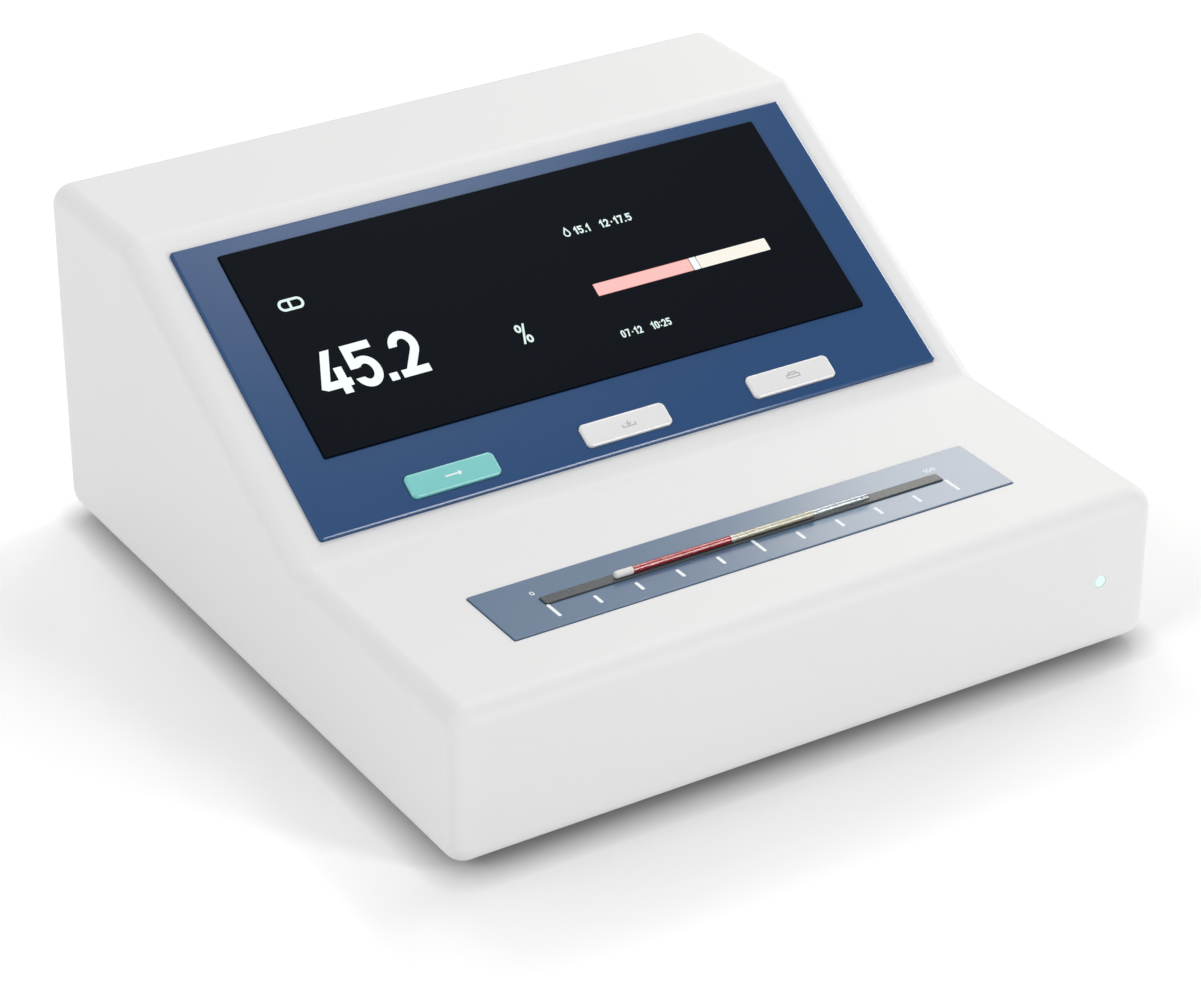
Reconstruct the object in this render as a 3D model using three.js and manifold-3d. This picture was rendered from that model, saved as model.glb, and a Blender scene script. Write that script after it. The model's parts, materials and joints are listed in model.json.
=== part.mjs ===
// Bench-top reader for capillary blood tubes.
// Millimetres, +Z up, the front faces -Y. The origin lies on the table, under the middle of the body.
import * as THREE from "three";
import { mergeVertices } from "three/addons/utils/BufferGeometryUtils.js";
import Module from "manifold-3d";

const wasm = await Module();
wasm.setup();

// Clearances and cutting
const restGap = 0.05; // flat level faces that lie on each other
const seatGap = 0.3; // pieces that lie on each other in the sloping face
const fitGap = 0.15; // around a piece in its pocket, slot or hole
const runGap = 0.1; // around a shaft or rod that turns or slides
const overrun = 1; // how far a cutting tool passes the face it cuts
const mergeTolerance = 1e-4; // corners closer than this are one corner

// Facets of round shapes
const arcSteps = 2; // half the steps of each rounded corner
const edgeSteps = 4; // steps of the rounded edges of the body
const innerSteps = 1; // the same for its hollow
const largeSides = 24;
const mediumSides = 16;
const smallSides = 12;

// Body
const bodyWidth = 207;
const bodyDepth = 211.4;
const deckHeight = 43.1; // underside of the body to the deck
const topHeight = 96.3; // underside of the body to the top
const deckDepth = 76.7; // front to the foot of the display face
const faceDepth = 89; // foot to head of the display face, seen from above
const edgeRadius = 5.6;
const profileRadiusShare = 1.07; // corners of the side profile, over the edge radius
const wall = 2.6;
const footHeight = 2.5;

const frontY = -bodyDepth / 2;
const backY = bodyDepth / 2;
const bottomZ = footHeight;
const deckZ = bottomZ + deckHeight;
const topZ = bottomZ + topHeight;
const slopeY = frontY + deckDepth;
const slopeTopY = slopeY + faceDepth;
const slopeAngle = Math.atan2(topZ - deckZ, slopeTopY - slopeY);
const slopeLength = Math.hypot(topZ - deckZ, slopeTopY - slopeY);

// Bottom rim, base plate, feet
const rimHeight = 5;
const rimWidth = 15.5; // body side to the bottom opening
const baseInset = 8.5; // body side to the recess of the base plate
const baseThickness = 2.4;
const baseCornerRadius = 5;
const baseBossRadius = 3.4;
const baseBossHeight = 8;
const footRadius = 8;
const footSeat = 0.6; // how deep a foot sits in the base plate
const footBevel = 0.5;
const footInset = 24; // body side to the middle of a foot

const rimTopZ = bottomZ + rimHeight;
const baseTopZ = bottomZ + baseThickness;
const recessTopZ = baseTopZ + restGap;
const baseBossInset = (rimWidth + baseInset) / 2;

// Screws, all of one kind
const screwHeadRadius = 2.6;
const screwHeadHeight = 1.2;
const screwShankRadius = 1.3;
const screwTip = 0.8;
const screwSlotWidth = 0.7;
const screwSlotLength = 3.2;
const screwSlotDepth = 0.6;
const baseScrewLength = 8;
const smallScrewLength = 5;
const screwBore = screwShankRadius + fitGap;

// Bezel plate, in the sloping face
const bezelSideMargin = 10.4; // body side to the plate
const bezelFootMargin = 6.6; // foot of the display face to the plate
const bezelHeadMargin = 6.6;
const bezelThickness = 1.8;
const bezelProud = 1.2; // over the display face
const bezelCorner = 0.8;

const bezelWidth = bodyWidth - 2 * bezelSideMargin;
const bezelHeight = slopeLength - bezelFootMargin - bezelHeadMargin;
const bezelMiddle = bezelFootMargin + bezelHeight / 2;
const bezelBackW = bezelProud - bezelThickness;

// Display glass, seated in the bezel plate
const glassSideMargin = 11.3; // edge of the plate to the glass
const glassFootMargin = 21.4;
const glassHeadMargin = 5;
const glassThickness = 1.1;
const glassProud = 0.7; // over the bezel plate
const glassLedge = 3; // width of the ledge that the glass rests on
const glassCorner = 0.5;

const glassWidth = bezelWidth - 2 * glassSideMargin;
const glassHeight = bezelHeight - glassFootMargin - glassHeadMargin;
const glassMiddle = bezelFootMargin + glassFootMargin + glassHeight / 2;
const glassTopW = bezelProud + glassProud;
const glassBackW = glassTopW - glassThickness;

// Display module and its bracket, behind the wall of the sloping face
const lcdThickness = 5;
const lcdLap = 1.2; // how far the module reaches past its window
const bracketThickness = 1;
const bracketReach = 8; // ear of the bracket past the module
const bracketHeightShare = 0.78; // of the module's height
const bracketSlotWidth = 44;
const bracketSlotHeight = 12;
const bracketBossRadius = 3;

const windowWidth = glassWidth - 2 * glassLedge;
const windowHeight = glassHeight - 2 * glassLedge;
const lcdWidth = windowWidth + 2 * lcdLap;
const lcdHeight = windowHeight + 2 * lcdLap;
const lcdTopW = -wall - seatGap;
const bracketTopW = lcdTopW - lcdThickness - seatGap;
const bracketBackW = bracketTopW - bracketThickness;
const bracketBossX = lcdWidth / 2 + bracketReach / 2 + fitGap;

// Keys
const keyWidth = 25.4;
const keyHeight = 6.7;
const keyEndMargin = 41.9; // end of the plate to an outer key's middle, if the row were centred
const keyRowX = -1.65; // the middle key
const keyRowMargin = 6.5; // foot of the plate to the middle of the key row
const keyProud = 1.7; // over the bezel plate
const keyCorner = 1.3;
const keyBevel = 0.4;
const keyGap = 0.25;
const keyTravel = 0.8;
const keyFlange = 1.2;
const keyFlangeThickness = 1;
const keyStemWidth = 5;
const keyStemHeight = 4;
const keyStemLength = 2.4;
const keyNames = ["read", "save", "print"];

const keyPitch = bezelWidth / 2 - keyEndMargin;
const keyRowS = bezelFootMargin + keyRowMargin;
const keyTopW = bezelProud + keyProud;
const keyFlangeW = -wall - seatGap;
const keyStemW = keyFlangeW - keyFlangeThickness - keyStemLength;

// Switches under the keys
const switchWidth = 7;
const switchHeight = 4;
const switchFloor = 0.8;
const plungerRadius = 1.6;
const plungerInside = 1.8; // length of plunger in its switch at rest
const plungerProud = keyTravel + seatGap;
const keypadHeight = 18;
const keypadEnd = 4.5; // past the flange of the last key, to its screw
const keypadLug = 6; // past the screw
const boardThickness = 1.6;
const keypadBossRadius = 3;

const plungerTopW = keyStemW - seatGap;
const switchTopW = plungerTopW - plungerProud;
const keypadTopW = switchTopW - switchHeight - seatGap;
const keypadBossX = keyPitch + keyWidth / 2 + keyFlange + keypadEnd;
const keypadWidth = 2 * (keypadBossX + keypadLug);

// Scale plate and the window strip, in the deck
const deckPlateMargin = 29.8; // body side to the plate
const deckPlateShift = 0.3;
const deckPlateStart = 22.2; // front of the body to the plate
const deckPlateDepth = 23;
const deckPlateThickness = 1.4;
const deckPlateProud = 0.4;
const deckPlateCorner = 0.5;
const stripMargin = 14.7; // end of the plate to the strip
const stripWidth = 3.4;
const stripStart = 10; // front edge of the plate to the strip
const stripProud = 0.43; // over the plate

const deckPlateWidth = bodyWidth - 2 * deckPlateMargin;
const deckPlateY = frontY + deckPlateStart + deckPlateDepth / 2;
const deckPlateBackZ = deckZ + deckPlateProud - deckPlateThickness;
const stripLength = deckPlateWidth - 2 * stripMargin;
const stripY = frontY + deckPlateStart + stripStart + stripWidth / 2;
const stripTopZ = deckZ + deckPlateProud + stripProud;
const deckUnderZ = deckZ - wall;

// Capillary tube, its seal and its three layers
const tubeLength = 75;
const tubeRadius = 0.9;
const tubeBore = 0.6;
const tubeShiftX = -1;
const tubeShiftY = -0.4; // in front of the middle of the strip
const bloodGap = 0.03;
const sealRadius = 1.02;
const sealLength = 5.5;
const sealEnd = 0.8; // thickness of its closed end
const sealRound = 0.35;
const sealPlug = 3.8; // length of the plug in the bore
const redCellEnd = 34.2; // sealed end to the top of the red cells
const buffyLength = 0.75;
const plasmaEnd = 58.4; // sealed end to the top of the plasma

const tubeStartX = tubeShiftX - tubeLength / 2;
const tubeY = stripY + tubeShiftY;
const tubeZ = stripTopZ + sealRadius + restGap;

// Scanner under the deck
const carriageLength = 14;
const carriageDepth = 32;
const carriageHeight = 12;
const carriageClear = 1.5; // to the end wall it stops at
const headLength = 11;
const headDepth = 14;
const headHeight = 9;
const headGap = 1.5; // under the deck
const lensRadius = 3;
const lensThickness = 1.4;
const lensCrown = 0.5;
const lensRecess = 0.2;
const lightPathRadius = 2; // hole down through the optical head
const lightPathDepth = 6;
const rodRadius = 1.5;
const rodSpacing = 23;
const rodProud = 1; // past the end walls
const leadRadius = 2;
const journalRadius = 1.2;
const nutRadius = 4;
const frameThickness = 1.5;
const frameWall = 3;
const frameClear = 1; // under the carriage
const frameDepth = 36;
const driveRoom = 8.5; // right end wall to the motor plate
const motorSize = 20;
const motorLength = 17.5;
const motorCorner = 3;
const motorPilotRadius = 4;
const motorPilot = 1;
const motorShaftDepth = 11;
const shaftEndGap = 1;
const motorClear = 2.3; // motor to the side wall
const scannerBossLength = 4;
const scannerBossRadius = 3.2;
const lugLength = 12;
const lugDepth = 10;
const lugShift = 14; // behind the lead screw

const headTopZ = deckUnderZ - headGap;
const carriageTopZ = headTopZ - headHeight - restGap;
const driveZ = carriageTopZ - carriageHeight / 2;
const frameFloorZ = driveZ - carriageHeight / 2 - frameClear;
const frameTopZ = deckUnderZ - scannerBossLength - restGap;
const motorX = bodyWidth / 2 - wall - motorClear - motorLength;
const motorPlateX = motorX - restGap - frameWall;
const endWallX = motorPlateX - driveRoom - frameWall; // inner face of both end walls
const carriageX = -endWallX + carriageClear + carriageLength / 2;

// Status light
const statusInset = 17.15; // right side of the body to the light
const statusHeight = 21.4; // underside of the body to the light
const statusRadius = 1.75;
const statusFlange = 1;
const statusPipeEnd = 3; // past the wall, inside
const statusLedRadius = 1.5;
const statusLedHeight = 2;
const statusBoardWidth = 12;
const statusBoardHeight = 15;
const statusPostRadius = 1.6;
const statusPostSpacing = 10.5;

const statusX = bodyWidth / 2 - statusInset;
const statusZ = bottomZ + statusHeight;
const statusPipeY = frontY + wall + statusPipeEnd;
const statusBoardY = statusPipeY + seatGap + statusLedHeight;

// Bay for the sockets, in the back
const bayWidth = 112;
const bayHeight = 34;
const bayLift = 4; // over the bottom rim
const bayDepth = 4; // behind the wall
const bayWall = 2;
const panelMargin = 4;
const panelThickness = 1.5;
const grooveWall = 2;
const grooveLap = 3;

const bayZ = rimTopZ + bayLift;
const panelOuterY = backY - wall - bayDepth - restGap;
const panelInnerY = panelOuterY - panelThickness;
const panelWidth = bayWidth + 2 * panelMargin;
const panelBottomZ = rimTopZ + restGap;
const panelTopZ = bayZ + bayHeight + panelMargin;

// Power inlet
const inletX = 33;
const inletFlangeWidth = 30.6;
const inletFlangeHeight = 22.6;
const inletFlangeThickness = 2.2;
const inletRim = 1.7; // flange past the body
const inletWall = 1.3;
const inletDepth = 16.5;
const inletFloor = 2;
const inletCorner = 2.5;
const pinWidth = 2;
const pinHeight = 4;
const pinLength = 12;
const pinSpacing = 14;

const inletZ = bayZ + bayHeight / 2;
const inletBodyWidth = inletFlangeWidth - 2 * inletRim;
const inletBodyHeight = inletFlangeHeight - 2 * inletRim;
const inletFrontY = panelOuterY + restGap + inletFlangeThickness;
const inletFloorY = inletFrontY - inletDepth + inletFloor;

// Rocker switch
const rockerX = 0;
const rockerFlangeWidth = 15;
const rockerFlangeHeight = 21;
const rockerFlangeThickness = 2;
const rockerRim = 1.1;
const rockerWall = 1.3;
const rockerDepth = 13;
const rockerFloor = 1.5;
const rockerGap = 0.4;
const rockerTilt = 8; // degrees, each way
const rockerHalf = 7.6; // half the rocker's height
const rockerProud = 2.6; // over its pivot
const rockerDip = 0.8;
const rockerInner = 3.4; // behind its pivot
const rockerInnerHalf = 4;
const trunnionRadius = 1.2;
const trunnionLength = 0.9;

const rockerBodyWidth = rockerFlangeWidth - 2 * rockerRim;
const rockerBodyHeight = rockerFlangeHeight - 2 * rockerRim;
const rockerCavityWidth = rockerBodyWidth - 2 * rockerWall;
const rockerCavityHeight = rockerBodyHeight - 2 * rockerWall;
const rockerWidth = rockerCavityWidth - 2 * rockerGap;
const rockerFrontY = panelOuterY + restGap + rockerFlangeThickness;
const rockerPivotY = rockerFrontY - rockerFlangeThickness;

// Boards on the base plate
const standoffHeight = 6;
const standoffRadius = 3;
const boardPinRadius = 1.2;
const boardPinHeight = 3;
const boardPinInset = 5;
const boardSideMargin = 17.5; // body side to a board
const mainBoardLeft = -8;
const mainBoardFrontY = -6;
const mainBoardBackGap = 0.5; // to the grooves of the rear panel
const powerBoardRight = -16;
const powerBoardDepth = 86;
const powerBoardBackGap = 9.55; // to the rear panel
const chipWidth = 16;
const chipHeight = 1.6;
const smallChipWidth = 8;
const smallChipShift = 24; // beside the large chip
const headerWidth = 28;
const headerDepth = 6;
const headerHeight = 6;
const frontHeaderInset = 12; // front of the board to its header
const coilWidth = 34;
const coilDepth = 28;
const coilHeight = 26;
const sinkWidth = 6;
const sinkDepth = 40;
const sinkHeight = 22;
const sinkInset = 12;
const canRadius = 8;
const canHeight = 28;
const canInset = 12; // back of the board to the middle of the can
const cellRadius = 10;
const cellHeight = 3.4;
const cellInset = 15;

const boardZ = baseTopZ + standoffHeight + restGap;
const boardTopZ = boardZ + boardThickness;
const mainBoardRight = bodyWidth / 2 - boardSideMargin;
const mainBoardBackY = panelInnerY - fitGap - grooveWall - mainBoardBackGap;
const mainBoardX = (mainBoardLeft + mainBoardRight) / 2;
const mainBoardY = (mainBoardFrontY + mainBoardBackY) / 2;
const powerBoardLeft = boardSideMargin - bodyWidth / 2;
const powerBoardX = (powerBoardLeft + powerBoardRight) / 2;
const powerBoardBackY = panelInnerY - powerBoardBackGap;
const powerBoardFrontY = powerBoardBackY - powerBoardDepth;
const powerBoardY = (powerBoardFrontY + powerBoardBackY) / 2;

// Data socket, on the main board
const portX = 38;
const portWidth = 12;
const portHeight = 11;
const portDepth = 16;
const portProud = 0.6; // past the rear panel
const portWall = 1.4;
const portHollow = 10;
const tongueWidth = 5.6;
const tongueHeight = 3.2;
const tongueLength = 8;

// Air slots in the back and in the base
const ventCount = 11;
const ventWidth = 2.6;
const ventHeight = 20;
const ventPitch = 6.6;
const ventLift = 16; // over the bay
const baseVentCount = 7;
const baseVentLength = 34;

// Flat cable from the display to the main board
const ribbonX = 8;
const ribbonWidth = 26;
const ribbonThickness = 0.4;
const ribbonBow = 10;
const ribbonSteps = 8;

// Finishes: colour, roughness, metalness
const finishes = {
  whiteHousing: [0xebebeb, 0.42, 0],
  greyPlastic: [0xb9bcbf, 0.6, 0],
  blackPlastic: [0x1b1c1e, 0.45, 0],
  bluePlate: [0x34547f, 0.35, 0.1],
  blueGloss: [0x3a5684, 0.12, 0.2],
  blackGlass: [0x14181e, 0.08, 0],
  darkStrip: [0x44474c, 0.3, 0],
  tealKey: [0x89ccca, 0.4, 0],
  whiteKey: [0xe4e4e4, 0.4, 0],
  clearGlass: [0xe8eef0, 0.05, 0],
  whiteClay: [0xe8e8e6, 0.7, 0],
  redCells: [0x8e1118, 0.3, 0],
  buffyLayer: [0xeee3da, 0.5, 0],
  plasma: [0xd8c489, 0.15, 0],
  mintLight: [0xdffff6, 0.2, 0],
  steel: [0xb4b7ba, 0.35, 1],
  aluminium: [0xc3c6c9, 0.4, 1],
  brass: [0xc7a35a, 0.35, 1],
  rubber: [0x2a2b2d, 0.85, 0],
  greenBoard: [0x1f5a3b, 0.5, 0],
};

// Closed solid of a geometry; only the places of its corners are kept
function toSolid(geometry) {
  const bare = geometry.clone();
  bare.deleteAttribute("normal");
  bare.deleteAttribute("uv");
  const merged = mergeVertices(bare, mergeTolerance);
  const vertProperties = new Float32Array(merged.attributes.position.array);
  const triVerts = new Uint32Array(merged.index.array);
  return new wasm.Manifold(new wasm.Mesh({ numProp: 3, vertProperties, triVerts }));
}

// Geometry of a solid, for its mesh
function toGeometry(solid) {
  const mesh = solid.getMesh();
  const geometry = new THREE.BufferGeometry();
  geometry.setAttribute("position", new THREE.BufferAttribute(mesh.vertProperties, 3));
  geometry.setIndex(new THREE.BufferAttribute(mesh.triVerts, 1));
  geometry.computeVertexNormals();
  return geometry;
}

// First geometry with the others joined to it
function joined(first, ...others) {
  return toGeometry(others.reduce((solid, other) => solid.add(toSolid(other)), toSolid(first)));
}

// First geometry with the others cut from it
function cut(first, ...others) {
  return toGeometry(others.reduce((solid, other) => solid.subtract(toSolid(other)), toSolid(first)));
}

// Block between two limits on each axis
function block([x0, x1], [y0, y1], [z0, z1]) {
  const geometry = new THREE.BoxGeometry(x1 - x0, y1 - y0, z1 - z0);
  return geometry.translate((x0 + x1) / 2, (y0 + y1) / 2, (z0 + z1) / 2);
}

// Limits of a length about its middle
function about(middle, length) {
  return [middle - length / 2, middle + length / 2];
}

// Upright cylinder between two heights
function post(radius, [x, y], [z0, z1], sides = mediumSides) {
  const geometry = new THREE.CylinderGeometry(radius, radius, z1 - z0, sides);
  return geometry.rotateX(Math.PI / 2).translate(x, y, (z0 + z1) / 2);
}

// Cylinder along X between two limits
function barAlongX(radius, [x0, x1], [y, z], sides = mediumSides) {
  const geometry = new THREE.CylinderGeometry(radius, radius, x1 - x0, sides);
  return geometry.rotateZ(-Math.PI / 2).translate((x0 + x1) / 2, y, z);
}

// Cylinder along Y between two limits
function barAlongY(radius, [y0, y1], [x, z], sides = mediumSides) {
  const geometry = new THREE.CylinderGeometry(radius, radius, y1 - y0, sides);
  return geometry.translate(x, (y0 + y1) / 2, z);
}

// Outline whose corners are arcs of the given radii
function roundedShape(corners, radii) {
  const shape = new THREE.Shape();
  corners.forEach((corner, i) => {
    const back = corners.at(i - 1).clone().sub(corner).normalize();
    const ahead = corners[(i + 1) % corners.length].clone().sub(corner).normalize();
    const half = Math.acos(THREE.MathUtils.clamp(back.dot(ahead), -1, 1)) / 2;
    const middle = back.clone().add(ahead).normalize();
    const centre = corner.clone().addScaledVector(middle, radii[i] / Math.sin(half));
    const start = corner.clone().addScaledVector(back, radii[i] / Math.tan(half)).sub(centre);
    const end = corner.clone().addScaledVector(ahead, radii[i] / Math.tan(half)).sub(centre);
    const clockwise = back.cross(ahead) > 0;
    shape.absarc(centre.x, centre.y, radii[i], start.angle(), end.angle(), clockwise);
  });
  return shape;
}

// Rounded rectangle about the origin
function roundedRectangle(width, height, radius) {
  const corners = [
    new THREE.Vector2(-width / 2, -height / 2),
    new THREE.Vector2(width / 2, -height / 2),
    new THREE.Vector2(width / 2, height / 2),
    new THREE.Vector2(-width / 2, height / 2),
  ];
  return roundedShape(corners, corners.map(() => radius));
}

// Level plate with rounded corners between two heights
function plate([x, y], width, height, radius, [z0, z1]) {
  const options = { depth: z1 - z0, bevelEnabled: false, curveSegments: arcSteps };
  const geometry = new THREE.ExtrudeGeometry(roundedRectangle(width, height, radius), options);
  return geometry.translate(x, y, z0);
}

// Plate in the panel's upright plane, facing the back
function uprightPlate([x, z], width, height, radius, [y0, y1]) {
  const options = { depth: y1 - y0, bevelEnabled: false, curveSegments: arcSteps };
  const geometry = new THREE.ExtrudeGeometry(roundedRectangle(width, height, radius), options);
  return geometry.rotateX(Math.PI / 2).translate(x, y1, z);
}

// Side profile, with Y as its first and Z as its second axis, carried along X
function carriedAlongX(shape, width, options) {
  const geometry = new THREE.ExtrudeGeometry(shape, { depth: width, curveSegments: arcSteps, ...options });
  const turn = new THREE.Matrix4().makeBasis(
    new THREE.Vector3(0, 1, 0),
    new THREE.Vector3(0, 0, 1),
    new THREE.Vector3(1, 0, 0),
  );
  return geometry.translate(0, 0, -width / 2).applyMatrix4(turn);
}

// Turned piece about the X axis, from points of distance along X and radius
function turnedAlongX(points, sides) {
  const profile = points.map(([along, radius]) => new THREE.Vector2(radius, along));
  return new THREE.LatheGeometry(profile, sides).rotateZ(-Math.PI / 2);
}

// The display face: its own X, the distance up the slope and the height over the face
const slopeFrame = new THREE.Matrix4()
  .makeTranslation(0, slopeY, deckZ)
  .multiply(new THREE.Matrix4().makeRotationX(slopeAngle));

function onSlope(geometry) {
  return geometry.clone().applyMatrix4(slopeFrame);
}

// Pan head screw with a cross slot, head down, whose head starts at the origin
function screwGeometry(length) {
  const head = [
    [0, 0],
    [screwHeadRadius, 0],
    [screwHeadRadius, screwHeadHeight],
    [screwShankRadius, screwHeadHeight],
    [screwShankRadius, screwHeadHeight + length - screwTip],
    [0, screwHeadHeight + length],
  ];
  const profile = head.map(([radius, z]) => new THREE.Vector2(radius, z));
  const body = new THREE.LatheGeometry(profile, smallSides).rotateX(Math.PI / 2);
  const depth = [-overrun, screwSlotDepth];
  const slotA = block(about(0, screwSlotWidth), about(0, screwSlotLength), depth);
  const slotB = block(about(0, screwSlotLength), about(0, screwSlotWidth), depth);
  return cut(body, slotA, slotB);
}

const model = new THREE.Group();
const displayFace = new THREE.Group();
displayFace.position.set(0, slopeY, deckZ);
displayFace.rotation.x = slopeAngle;
model.add(displayFace);

function addPiece(group, name, geometry, finish) {
  const [color, roughness, metalness] = finishes[finish];
  const material = new THREE.MeshStandardMaterial({ color, roughness, metalness });
  const mesh = new THREE.Mesh(geometry, material);
  mesh.name = name;
  group.add(mesh);
  return mesh;
}

function addScrew(group, name, length, [x, y, z]) {
  addPiece(group, name, screwGeometry(length), "steel").position.set(x, y, z);
}

// Places that several pieces share
const cornerSigns = [
  ["front_left", -1, -1],
  ["front_right", 1, -1],
  ["rear_left", -1, 1],
  ["rear_right", 1, 1],
];
const baseBosses = cornerSigns.map(([name, sx, sy]) => {
  return [name, sx * (bodyWidth / 2 - baseBossInset), sy * (bodyDepth / 2 - baseBossInset)];
});
const feet = cornerSigns.map(([name, sx, sy]) => {
  return [name, sx * (bodyWidth / 2 - footInset), sy * (bodyDepth / 2 - footInset)];
});
const bracketBosses = [
  ["left", -bracketBossX, glassMiddle],
  ["right", bracketBossX, glassMiddle],
];
const keypadBosses = [
  ["left", keyRowX - keypadBossX, keyRowS],
  ["right", keyRowX + keypadBossX, keyRowS],
];
const scannerBosses = [
  ["left", -endWallX - frameWall - lugLength / 2, stripY + lugShift],
  ["right", motorX + lugLength / 2, stripY + lugShift],
];
const statusPosts = [statusZ - statusPostSpacing / 2, statusZ + statusPostSpacing / 2];
const keys = keyNames.map((name, i) => [name, keyRowX + (i - 1) * keyPitch]);

// Side profile of the body, drawn in by a wall thickness, with its floor at a given height
function bodyProfile(inset, floorZ) {
  const shift = inset * Math.tan(slopeAngle / 2);
  const corners = [
    new THREE.Vector2(frontY + inset, floorZ),
    new THREE.Vector2(backY - inset, floorZ),
    new THREE.Vector2(backY - inset, topZ - inset),
    new THREE.Vector2(slopeTopY + shift, topZ - inset),
    new THREE.Vector2(slopeY + shift, deckZ - inset),
    new THREE.Vector2(frontY + inset, deckZ - inset),
  ];
  const outer = edgeRadius * profileRadiusShare - inset;
  const inner = edgeRadius * profileRadiusShare + inset;
  return roundedShape(corners, [outer, outer, outer, outer, inner, outer]);
}

function bodySolid(inset, floorZ, cornerSteps, bevelSteps) {
  const radius = edgeRadius - inset;
  const bevel = {
    bevelThickness: radius,
    bevelSize: radius,
    bevelOffset: -radius,
    bevelSegments: bevelSteps,
    curveSegments: cornerSteps,
  };
  return carriedAlongX(bodyProfile(inset, floorZ), bodyWidth - 2 * inset - 2 * radius, bevel);
}

function bottomCuts() {
  const opening = [bodyWidth - 2 * rimWidth, bodyDepth - 2 * rimWidth];
  const recess = [bodyWidth - 2 * baseInset, bodyDepth - 2 * baseInset];
  const depth = [bottomZ - overrun, rimTopZ + overrun];
  return [
    plate([0, 0], ...opening, baseCornerRadius, depth),
    plate([0, 0], ...recess, baseCornerRadius, [bottomZ - overrun, recessTopZ]),
  ];
}

function boss(radius, place, [z0, z1]) {
  const bore = post(screwBore, place, [z0 - overrun, z1 - wall / 2], smallSides);
  return cut(post(radius, place, [z0, z1], smallSides), bore);
}

function housingBosses() {
  const base = baseBosses.map(([, x, y]) => {
    return boss(baseBossRadius, [x, y], [recessTopZ, rimTopZ + baseBossHeight]);
  });
  const bracket = bracketBosses.map(([, x, s]) => {
    return onSlope(boss(bracketBossRadius, [x, s], [bracketTopW + seatGap, -wall / 2]));
  });
  const keypad = keypadBosses.map(([, x, s]) => {
    return onSlope(boss(keypadBossRadius, [x, s], [keypadTopW + seatGap, -wall / 2]));
  });
  const scanner = scannerBosses.map(([, x, y]) => {
    return boss(scannerBossRadius, [x, y], [frameTopZ + restGap, deckZ - wall / 2]);
  });
  const postLimits = [frontY + wall / 2, statusBoardY - restGap];
  const status = statusPosts.map((z) => barAlongY(statusPostRadius, postLimits, [statusX, z], smallSides));
  return [...base, ...bracket, ...keypad, ...scanner, ...status];
}

// Screw holes through the bottom rim into the bosses above it
function bossBores() {
  const height = [bottomZ - overrun, rimTopZ + baseBossHeight - wall / 2];
  return baseBosses.map(([, x, y]) => post(screwBore, [x, y], height, smallSides));
}

function bayFrame() {
  const height = [bayZ - bayWall, bayZ + bayHeight + bayWall];
  const depth = [panelOuterY + restGap, backY - wall / 2];
  const frame = block(about(0, bayWidth + 2 * bayWall), depth, height);
  const grooves = [-1, 1].flatMap((side) => {
    const edge = side * (panelWidth / 2 + fitGap);
    const sideWall = [edge, edge + side * grooveWall].sort((a, b) => a - b);
    const lip = [edge - side * grooveLap, edge + side * grooveWall].sort((a, b) => a - b);
    const behind = panelInnerY - fitGap;
    const tall = [rimTopZ - wall / 2, panelTopZ];
    return [
      block(sideWall, [behind - grooveWall, backY - wall / 2], tall),
      block(lip, [behind - grooveWall, behind], tall),
    ];
  });
  return [frame, ...grooves];
}

function backCuts() {
  const through = [panelOuterY - overrun, backY + overrun];
  const bay = block(about(0, bayWidth), through, about(bayZ + bayHeight / 2, bayHeight));
  const ventZ = bayZ + bayHeight + ventLift + ventHeight / 2;
  const backWall = [backY - wall - overrun, backY + overrun];
  const vents = Array.from({ length: ventCount }, (_, i) => {
    const x = (i - (ventCount - 1) / 2) * ventPitch;
    return block(about(x, ventWidth), backWall, about(ventZ, ventHeight));
  });
  return [bay, ...vents];
}

function deckCuts() {
  const grow = 2 * fitGap;
  const place = [deckPlateShift, deckPlateY];
  const pocket = [deckPlateBackZ - restGap, deckZ + overrun];
  const slot = [deckUnderZ - overrun, deckZ + overrun];
  return [
    plate(place, deckPlateWidth + grow, deckPlateDepth + grow, deckPlateCorner, pocket),
    plate([deckPlateShift, stripY], stripLength + grow, stripWidth + grow, deckPlateCorner, slot),
  ];
}

function slopeCuts() {
  const grow = 2 * fitGap;
  const pocket = [bezelBackW - seatGap, edgeRadius];
  const through = [-wall - overrun, edgeRadius];
  const keyHoles = keys.map(([, x]) => {
    return plate([x, keyRowS], keyWidth + 2 * keyGap, keyHeight + 2 * keyGap, keyCorner, through);
  });
  const cuts = [
    plate([0, bezelMiddle], bezelWidth + grow, bezelHeight + grow, bezelCorner, pocket),
    plate([0, glassMiddle], windowWidth, windowHeight, glassCorner, through),
    ...keyHoles,
  ];
  return cuts.map(onSlope);
}

function upperHousing() {
  const outside = bodySolid(0, bottomZ, arcSteps, edgeSteps);
  const inside = bodySolid(wall, rimTopZ, innerSteps, innerSteps);
  const shell = cut(outside, inside, ...bottomCuts());
  const filled = joined(shell, ...housingBosses(), ...bayFrame());
  const frontWall = [frontY - overrun, frontY + wall + overrun];
  const light = barAlongY(statusRadius + fitGap, frontWall, [statusX, statusZ]);
  return cut(filled, ...bossBores(), ...backCuts(), ...deckCuts(), ...slopeCuts(), light);
}

// Where the pins of the two boards stand
function boardPins() {
  const main = boardPinPlaces(mainBoardLeft, mainBoardRight, mainBoardFrontY, mainBoardBackY);
  const power = boardPinPlaces(powerBoardLeft, powerBoardRight, powerBoardFrontY, powerBoardBackY);
  return { main, power };
}

function boardPinPlaces(left, right, front, back) {
  const insideRim = backY - rimWidth - standoffRadius - fitGap;
  const xs = [left + boardPinInset, right - boardPinInset];
  const ys = [front + boardPinInset, Math.min(back - boardPinInset, insideRim)];
  return xs.flatMap((x) => ys.map((y) => [x, y]));
}

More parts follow.
